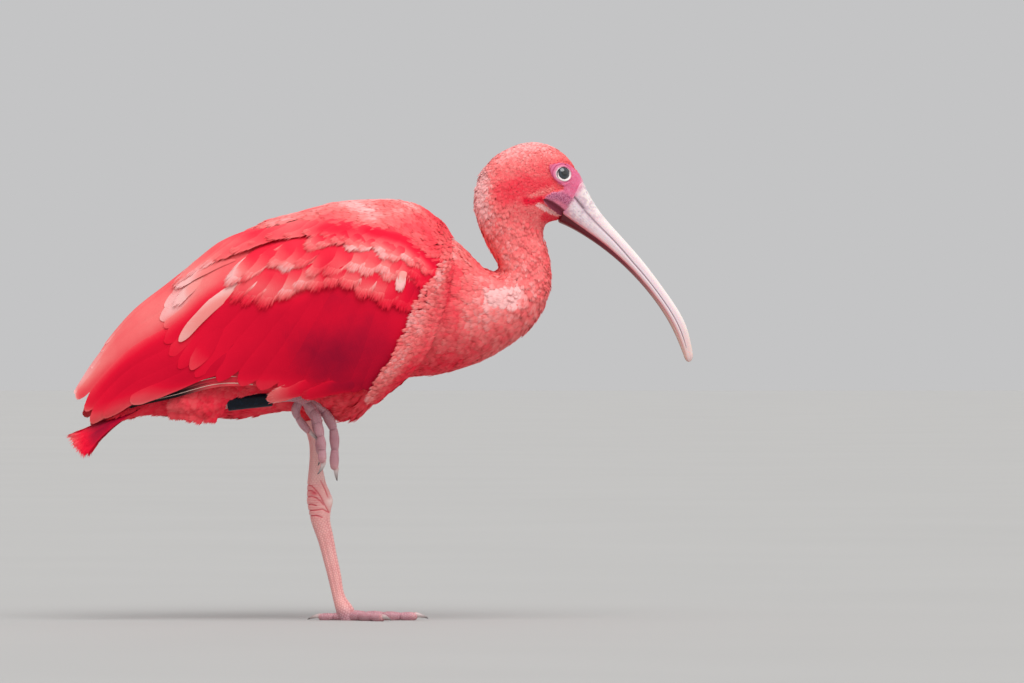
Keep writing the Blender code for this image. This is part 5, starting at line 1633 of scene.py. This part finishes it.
def make_tail(finish):
    """The tail's feathers, the middle ones on top, their ends worn into loose barbs."""
    feathers = Feathers(tail_place, tail_tone, SEED)
    for i, share in enumerate(np.linspace(-1, 1, RECTRICES)):
        turn = TAIL_SPREAD * share
        length = TAIL_LENGTH * (1 + feathers.rng.uniform(-0.08, 0.0)) - 2
        rank = abs(i - (RECTRICES - 1) / 2)
        root = (TAIL_BASE * share, 0.0)
        tip = (TAIL_BASE * share + length * math.sin(turn), length * math.cos(turn))
        patch = (0.04 + 0.92 * (i + 0.5) / RECTRICES, 0.5, 0.9 / RECTRICES, 0.9)
        shape = {**WORN, "lean": -0.4 * math.copysign(1, share)}
        low, top = -0.5 - 0.3 * rank, 1.2 - 0.4 * rank
        feathers.vane(root, tip, TAIL_WIDTH, low, top, shape, (0, 0.1, 0.1), patch)
    piece(feathers.finish("tail_feathers"), finish, "plumage", "tail")


# The bird's right leg below the knee, drawn up under the body, as a tube like the left one.
TARSUS_RIGHT = (
    (-120, -17.5, 158, 3.5, 4.5), (-116, -18, 159, 6.4, 8.2), (-108, -18.8, 160.4, 5.6, 6.8),
    (-98, -20, 161.8, 4.2, 4.9), (-76, -22, 164.6, 3.7, 4.3), (-52, -23.5, 167.2, 3.8, 4.4),
    (-38, -24, 168.4, 5, 5.2), (-32, -24, 167.4, 6.4, 6), (-27, -24, 165, 4.6, 4.6),
)
BAND_FROM = 0.33  # share of the raised tarsus's length
BAND_TO = 0.68
BAND_RADIUS = 6.0
# Toes: length, heading in degrees to the left of forward, root and tip radius, joints.
TOES = {
    "middle": (52, -2, 3.9, 3.1, 3),
    "outer": (45, 44, 3.7, 2.8, 4),
    "inner": (39, -46, 3.6, 2.7, 2),
    "hind": (23, 176, 3.3, 2.5, 1),
}
# The raised foot's toes: side-view points, the sideways place of the end, the claw's curl forward.
HANGING_TOES = {
    "middle": (((-30, 166), (-17, 156), (-10.6, 143), (-9.6, 126), (-9.8, 112.5)), -20.0, 0.1),
    "outer": (((-32, 164), (-25.4, 158), (-21, 144), (-18.6, 129), (-18.8, 117.6)), -29.0, -0.4),
    "inner": (((-31, 164), (-25, 152), (-21.5, 138), (-20.5, 124)), -18.0, -0.3),
    "hind": (((-35, 165), (-38.5, 157), (-33.5, 147.5), (-28.2, 140.6)), -21.0, 0.2),
}
# Folds of skin across the standing leg's ankle, in side view.
ANKLE_FOLDS = (
    ((-32, 101.6), (-27.2, 100.5), (-23.9, 97.1), (-20.5, 92.4), (-17.1, 85.7), (-14.4, 81)),
    ((-32, 92.2), (-27.2, 92.8), (-23.9, 91.7), (-20.5, 89.1), (-18.4, 86.4)),
    ((-32, 96.8), (-27.5, 97), (-24.6, 94.6)),
    ((-32, 86.2), (-28, 87), (-24, 86)),
    ((-30, 81.9), (-19.1, 83.2), (-14.4, 80.6)),
    ((-29, 77.9), (-24, 78.6), (-19.5, 77)),
    ((-20.6, 104.6), (-17.2, 98), (-14.9, 91.6)),
)


def limb(rows, step, sides, upward, tip=0.0):
    """A finely ringed tube: rings, which way is out, how far along each ring is and its turn.

    The turn counts from upward. A tip rounds the far end over that length.
    """
    table = np.array(rows, float)
    knots = lengths_along(table[:, :3])
    along = np.linspace(0, knots[-1], int(knots[-1] / step))
    read = through(knots, table, along)
    middles = read[:, :3]
    ways = unit(np.gradient(middles, axis=0))
    up = np.array(upward, float)
    up = unit(up - ways * (ways @ up)[:, None])
    side = np.cross(ways, up)
    turns = math.tau * np.arange(sides) / sides
    wide = read[:, 3:5].copy()
    if tip:
        left = np.clip((knots[-1] - along) / tip, 0, 1)
        wide *= np.maximum(np.sqrt(1 - (1 - left) ** 2), 0.03)[:, None]
    cos, sin = np.cos(turns)[None, :, None], np.sin(turns)[None, :, None]
    fore, over = up[:, None] * cos, side[:, None] * sin
    tall, broad = wide[:, :1, None], wide[:, 1:, None]
    spots = middles[:, None] + fore * tall + over * broad
    out = unit(fore / tall + over / broad)
    turns = np.broadcast_to((turns + math.pi) % math.tau - math.pi, spots.shape[:2])
    return spots, out, np.broadcast_to(along[:, None], spots.shape[:2]), turns


def net(across, along, size):
    """1 on the seams between six-sided scales of that size and 0 on the scales, over a flat sheet."""
    tall = size * math.sqrt(3) / 2
    first = np.full(across.shape, 1e9)
    second = np.full(across.shape, 1e9)
    for step in (-1, 0, 1, 2):
        line = np.floor(along / tall) + step
        shift = (line % 2) * 0.5
        for side in (-1, 0, 1):
            spot = (np.round(across / size - shift) + side + shift) * size
            far = np.hypot(across - spot, along - line * tall)
            second = np.minimum(second, np.maximum(first, far))
            first = np.minimum(first, far)
    return smooth(0.3 * size, 0.04 * size, second - first)


def plates(turns, along, half, length):
    """1 on the seams between plates across a limb's front, and where the plates reach to."""
    place = along / length + 0.25 * np.cos(turns * 1.5)
    seam = smooth(0.16, 0.03, np.abs(place - np.round(place)))
    return seam, smooth(half + 0.14, half - 0.14, np.abs(turns))


def on_floor(points, foot):
    """The standing foot's points, with none left under the floor."""
    low = np.array([-1e9, -1e9, 0.0 if foot == "left" else -1e9])
    return np.maximum(points, low)


def scaly(name, spots, out, seams, relief, values, foot):
    """A closed limb with its scales raised, and where its seams and colours are."""
    made = solid(name, on_floor(spots + out * relief[..., None], foot), loft_faces(*seams.shape))
    for key, value in {"seam": seams, **values}.items():
        put(made, key, np.broadcast_to(value, seams.shape))
    return made


def leg_material():
    """Bare scaly skin: coral pink on the shank and mauve on the toes, redder in folds."""
    made, tree, shader = new_material("leg_skin", 0.46, Subsurface_Weight=0.1, Subsurface_Scale=0.0015)
    shader.inputs["Subsurface Radius"].default_value = (1.0, 0.35, 0.25)
    cloud = tree.noise(5, 3)
    shank = tree.mix(cloud, (228, 150, 148), (248, 190, 182))
    toe = tree.mix(cloud, (168, 104, 118), (212, 152, 162))
    base = tree.mix(tree.attribute("toe"), shank, toe)
    flecks = above(tree, tree.noise(0.45, 3), 0.56, 0.14)
    flecked = tree.times(flecks, tree.math("MULTIPLY_ADD", tree.attribute("toe"), 0.35, 0.2))
    base = tree.mix(flecked, base, (238, 212, 212))
    deep = tree.mix(tree.attribute("toe"), (196, 92, 98), (126, 62, 78))
    seam = tree.times(tree.attribute("seam"), 0.6)
    lined = tree.mix(seam, base, deep)
    flushed = tree.mix(tree.attribute("flush"), lined, (222, 66, 84))
    pale = tree.mix(tree.attribute("pale"), flushed, (246, 222, 216))
    tree.paint(pale, tree.noise(0.6, 3))
    return made


def claw_material():
    """Horn that runs from pale at the root to dark at the point."""
    made, tree, _ = new_material("claw_horn", 0.34, Coat_Weight=0.2)
    grain = tree.math("MULTIPLY_ADD", tree.noise(1.2, 3), 0.3, -0.15)
    share = tree.math("ADD", tree.attribute("along"), grain)
    colour = tree.ramp(share, ((0, (206, 164, 162)), (0.3, (196, 178, 176)), (0.7, (150, 136, 134)),
        (1, (58, 48, 50))))
    tree.paint(colour)
    return made


def band_material():
    """The dark blue plastic of the leg band, a little scuffed."""
    made, tree, shader = new_material("band_plastic", 0.36, Specular_IOR_Level=0.2)
    scuffs = tree.noise(1.6, 4)
    colour = tree.ramp(scuffs, ((0.3, (4, 9, 16)), (0.6, (8, 22, 38)), (0.8, (34, 54, 70))))
    tree.paint(colour)
    rough = tree.node("ShaderNodeMapRange", {"Value": scuffs, "To Min": 0.25, "To Max": 0.55})
    tree.join(rough.outputs[0], shader.inputs["Roughness"])
    return made


SCALE = 1.9  # how wide the shank's small scales are
PLATE = 2.6  # how long the plates on its front are


def shank_scales(turns, along, around, half):
    """Seams of a shank: broad plates down its front and small six-sided scales round the rest."""
    small = net(turns / math.tau * around * SCALE, along, SCALE)
    wide, front = plates(turns, along, half, PLATE)
    edge = peak(np.abs(turns) - half, 0.07)
    return np.clip(small * (1 - front) + wide * front + edge * 0.8, 0, 1)


def make_standing_shank(skin):
    """The standing leg's bare shin, ankle and shank, in one piece."""
    spots, out, along, turns = limb(LEG_LEFT[SHIN_FROM - 1 :], 0.38, 84, (1, 0, 0))
    x, z = spots[..., 0], spots[..., 2]
    along = along + 0.35 * waves(spots, 9, 61)
    shin = smooth(98, 108, z)
    ankle = smooth(72, 80, z) * smooth(106, 98, z)
    rear = smooth(0.9, 1.9, np.abs(turns))
    half = 0.8 * (1 - 0.75 * shin)
    seams = shank_scales(turns, along, 16, half) * (1 - 0.75 * ankle)
    folds = np.zeros(x.shape)
    for line in ANKLE_FOLDS:
        folds = np.maximum(folds, peak(distance_to(line, x, z)[0], 0.42))
    wrinkles = ankle * rear * (0.5 + 0.5 * np.sin(z * math.tau / 1.9 + 0.8 * waves(spots, 5, 62)))
    knob = peak(x + 13.2, 3) * peak(z - 89.2, 3.4)
    relief = 0.12 - 0.24 * seams - 0.75 * folds - 0.3 * wrinkles + 0.9 * knob
    relief -= 0.5 * peak(np.abs(turns) - 1.9, 0.22) * smooth(70, 60, z) * smooth(12, 24, z)
    relief -= 0.4 * peak(np.abs(turns) - 1.5, 0.25) * shin
    flush = np.clip(0.75 * folds + 0.35 * wrinkles, 0, 1)
    flush = np.maximum(flush, 0.8 * peak(x + 25.5, 3.4) * peak(z - 95.4, 2.6))
    flush = np.maximum(flush, 0.4 * smooth(1.6, 2.6, np.abs(turns)) * shin)
    values = {"flush": flush, "pale": np.maximum(0.8 * knob, 0.3 * shin), "toe": smooth(12, 2, z)}
    leg = scaly("leg_standing", spots, out, np.maximum(seams, folds), relief, values, "left")
    piece(leg, skin, "leg", "shin_left", "tarsus_left")


def make_raised_shank(skin):
    """The raised leg's shank, from its ankle to the foot's joint."""
    spots, out, along, turns = limb(TARSUS_RIGHT, 0.4, 72, (0, 0, 1))
    x = spots[..., 0]
    along = along + 0.35 * waves(spots, 9, 63)
    seams = shank_scales(turns, along, 15, 0.8)
    joint = smooth(-104, -112, x) + smooth(-42, -34, x)
    wrinkles = joint * (0.5 + 0.5 * np.sin(x * math.tau / 1.8 + 0.8 * waves(spots, 5, 64)))
    relief = 0.12 - 0.24 * seams - 0.3 * wrinkles
    values = {"flush": 0.35 * wrinkles, "pale": 0, "toe": smooth(-60, -40, x)}
    leg = scaly("leg_raised", spots, out, seams, relief, values, "right")
    piece(leg, skin, "leg", "tarsus_right")


def toe_path(foot, name):
    """The line along a toe, the way its top faces and the curl of its claw."""
    length, heading, root, tip, _ = TOES[name]
    if foot == "left":
        turn = math.radians(heading)
        share = np.array((0, 0.35, 0.7, 1))
        reach = length * share
        radius = root + (tip - root) * share
        path = np.column_stack([reach * math.cos(turn) + 0.4, reach * math.sin(turn), radius * 0.9])
        return path, (0, 0, 1), np.array((0, 0, -0.24))
    side_view, end, curl = HANGING_TOES[name]
    path = [(x, -24 + (end + 24) * min(1, i / 2), z) for i, (x, z) in enumerate(side_view)]
    return np.array(path), (1, 0, 0), np.array((curl, 0, 0))


def make_toe(foot, name, skin, horn):
    """A toe with plates along its top and pads below, and the claw at its end."""
    _, _, root, tip, joints = TOES[name]
    path, upward, curl = toe_path(foot, name)
    rows = 6 * joints + 7
    shares = np.linspace(0, 1, rows)
    middles = read_line(path, shares)
    swell = 0.5 - 0.5 * np.cos(shares * (joints + 1) * math.tau)
    wide = (root + (tip - root) * shares) * (0.9 + 0.16 * swell)
    table = np.column_stack([middles, wide * 0.98, wide])
    spots, out, along, turns = limb(table, 0.36, 60, upward, tip * 1.1)
    share = along / lengths_along(path)[-1]
    top = np.abs(turns)
    moved = along + 0.25 * waves(spots, 7, 65)
    small = net(turns / math.tau * 14 * 1.5, moved, 1.5)
    broad, front = plates(turns, moved, 0.95, 1.75)
    seams = small * (1 - front) + broad * front
    bend = share * (joints + 1)
    crease = peak(bend - np.round(bend), 0.035) * smooth(0.03, 0.1, share)
    seams = np.maximum(seams, crease * smooth(0.8, 1.3, top))
    pad = smooth(1.9, 2.7, top) * (0.5 - 0.5 * np.cos(bend * math.tau))
    relief = 0.1 - 0.24 * seams - 0.35 * crease + 0.3 * pad
    values = {"flush": 0.12 * pad, "pale": 0, "toe": 1 - 0.35 * smooth(0.85, 1, share)}
    toe = scaly(f"toe_skin_{foot}_{name}", spots, out, seams, relief, values, foot)
    piece(toe, skin, "leg", f"toe_{foot}_{name}")
    way = unit(middles[-1] - middles[-2])
    start = middles[-1] - way * 2.2 + 0.35 * tip * np.array(upward)
    reach = np.linspace(0, 1, 10)
    line = start + (way * reach[:, None] + curl * reach[:, None] ** 2) * 10.0
    thick = tip * 0.62 * (1 - reach) ** 0.75 + 0.12
    bent = np.column_stack([line, thick * 1.1, thick * 0.85])
    claw, out, along, turns = limb(bent, 0.3, 28, upward)
    ridge = 0.1 * peak(turns, 0.5) - 0.25 * smooth(2.3, 2.9, np.abs(turns)) * (1 - along / 10.5)
    points = on_floor(claw + out * ridge[..., None], foot)
    made = solid(f"claw_horn_{foot}_{name}", points, loft_faces(*along.shape))
    put(made, "along", along / along.max())
    piece(made, horn, "claw", f"claw_{foot}_{name}")


def make_web(foot, toe, skin):
    """The small web between the roots of the middle toe and another front toe."""
    steps = np.linspace(0.02, 0.3, 24)
    sides = [read_line(toe_path(foot, name)[0], steps) for name in ("middle", toe)]
    across = np.linspace(0, 1, 21)[None, :, None]
    edge = np.linspace(0, 1, 24)[:, None, None]
    drawn = 1 - 0.42 * edge * np.sin(across * math.pi)
    root = (sides[0][0] + sides[1][0]) / 2
    sheet = root + (sides[0][:, None] * (1 - across) + sides[1][:, None] * across - root) * drawn
    thin = unit(np.cross(np.gradient(sheet, axis=1), np.gradient(sheet, axis=0)))
    thin *= (0.5 + 0.06 * waves(sheet, 1.4, 66))[..., None]
    web = slab(f"web_{foot}_{toe}", on_floor(sheet + thin, foot), on_floor(sheet - thin, foot))
    for key, value in (("seam", 0.3), ("flush", 0.25), ("pale", 0.0), ("toe", 0.6)):
        put(web, key, np.full(len(web.data.vertices), value))
    piece(web, skin, "leg", f"toe_{foot}_{toe}")


def make_band():
    """The band round the raised shank, a smooth ring with rounded rims."""
    rows = read_line(TARSUS_RIGHT, np.linspace(BAND_FROM, BAND_TO, 4))
    rows[:, 3:5] = 1.0
    spots, out, along, _ = limb(rows, 1.0, 96, (0, 0, 1))
    middles = spots.mean(axis=1)
    span = along[-1, 0]
    turn = np.linspace(0, math.tau, 40, endpoint=False)
    reach = span / 2 + np.sign(np.cos(turn)) * np.abs(np.cos(turn)) ** 0.12 * span / 2
    far = BAND_RADIUS - 0.55 + np.sign(np.sin(turn)) * np.abs(np.sin(turn)) ** 0.35 * 0.55
    rings = np.empty((40, 96, 3))
    for i in range(40):
        middle = np.array([np.interp(reach[i], along[:, 0], middles[:, k]) for k in range(3)])
        rings[i] = middle + out[len(out) // 2] * far[i]
    faces = loft_faces(40, 96, 0, True, False)
    faces += [(39 * 96 + k, 39 * 96 + (k + 1) % 96, (k + 1) % 96, k) for k in range(96)]
    band = solid("band_ring", rings, faces, 40)
    piece(band, band_material(), "band", "leg_band")


def make_legs():
    """Both legs with their toes, claws and webs."""
    skin, horn = leg_material(), claw_material()
    make_standing_shank(skin)
    make_raised_shank(skin)
    for foot in ("left", "right"):
        for name in TOES:
            make_toe(foot, name, skin, horn)
        make_web(foot, "outer", skin)
        make_web(foot, "inner", skin)
    make_band()


STUDIO_COLOUR = (196, 196, 197)
# Of each soft light: its name, the way it shines, its strength and how wide it looks, in degrees.
SOFT_LIGHTS = (
    ("key", (-0.25, 0.75, -1.35), 2.2, 50),
    ("fill", (-0.8, 0.5, -0.35), 0.35, 70),
)


def make_stage():
    """Pale floor, soft studio light, and the camera at the photograph's angle."""
    far = 3e4
    corners = [(-far, -far, 0), (far, -far, 0), (far, far, 0), (-far, far, 0)]
    floor = mesh_object("floor", corners, [(0, 1, 2, 3)])
    made, tree, _ = new_material("floor", 0.8)
    pale = tree.ramp(tree.noise(400, 2), ((0, (176, 175, 173)), (1, (182, 181, 179))))
    tree.paint(pale)
    floor.data.materials.append(made)
    world = bpy.data.worlds.new("studio")
    world.use_nodes = True
    sky = world.node_tree.nodes["Background"]
    sky.inputs["Color"].default_value = (*linear(STUDIO_COLOUR), 1.0)
    sky.inputs["Strength"].default_value = 1.0
    bpy.context.scene.world = world
    for name, way, strength, spread in SOFT_LIGHTS:
        light = bpy.data.lights.new(name, "SUN")
        light.energy = strength
        light.angle = math.radians(spread)
        lamp = bpy.data.objects.new(name, light)
        lamp.rotation_euler = Vector(way).to_track_quat("-Z", "Y").to_euler()
        bpy.context.scene.collection.objects.link(lamp)
    camera = bpy.data.cameras.new("camera")
    camera.lens = 300
    camera.sensor_width = 36
    camera.clip_end = 100
    eye = bpy.data.objects.new("camera", camera)
    eye.location = (0.123, -6.4, 0.209)
    eye.rotation_euler = (math.pi / 2, 0, 0)
    bpy.context.scene.collection.objects.link(eye)
    bpy.context.scene.camera = eye
    bpy.context.scene.view_settings.view_transform = "Standard"


make_stage()
make_skin()
make_eyes()
bill_horn = bill_material()
make_bill("upper_mandible", 0.0, MOUTH_SHARE, "bill_upper", bill_horn)
make_bill("lower_mandible", MOUTH_SHARE + 0.003, 1.0, "bill_lower", bill_horn)
coat = coat_tree()
make_body_coats(coat)
vanes = plumage_material("wing_feathers", 0.12, 0.02, 0.08, 0.05)
for wing_side, wing_word in SIDES:
    make_wing(wing_side, wing_word, vanes)
make_mantles(coat, vanes)
make_tail(vanes)
make_legs()
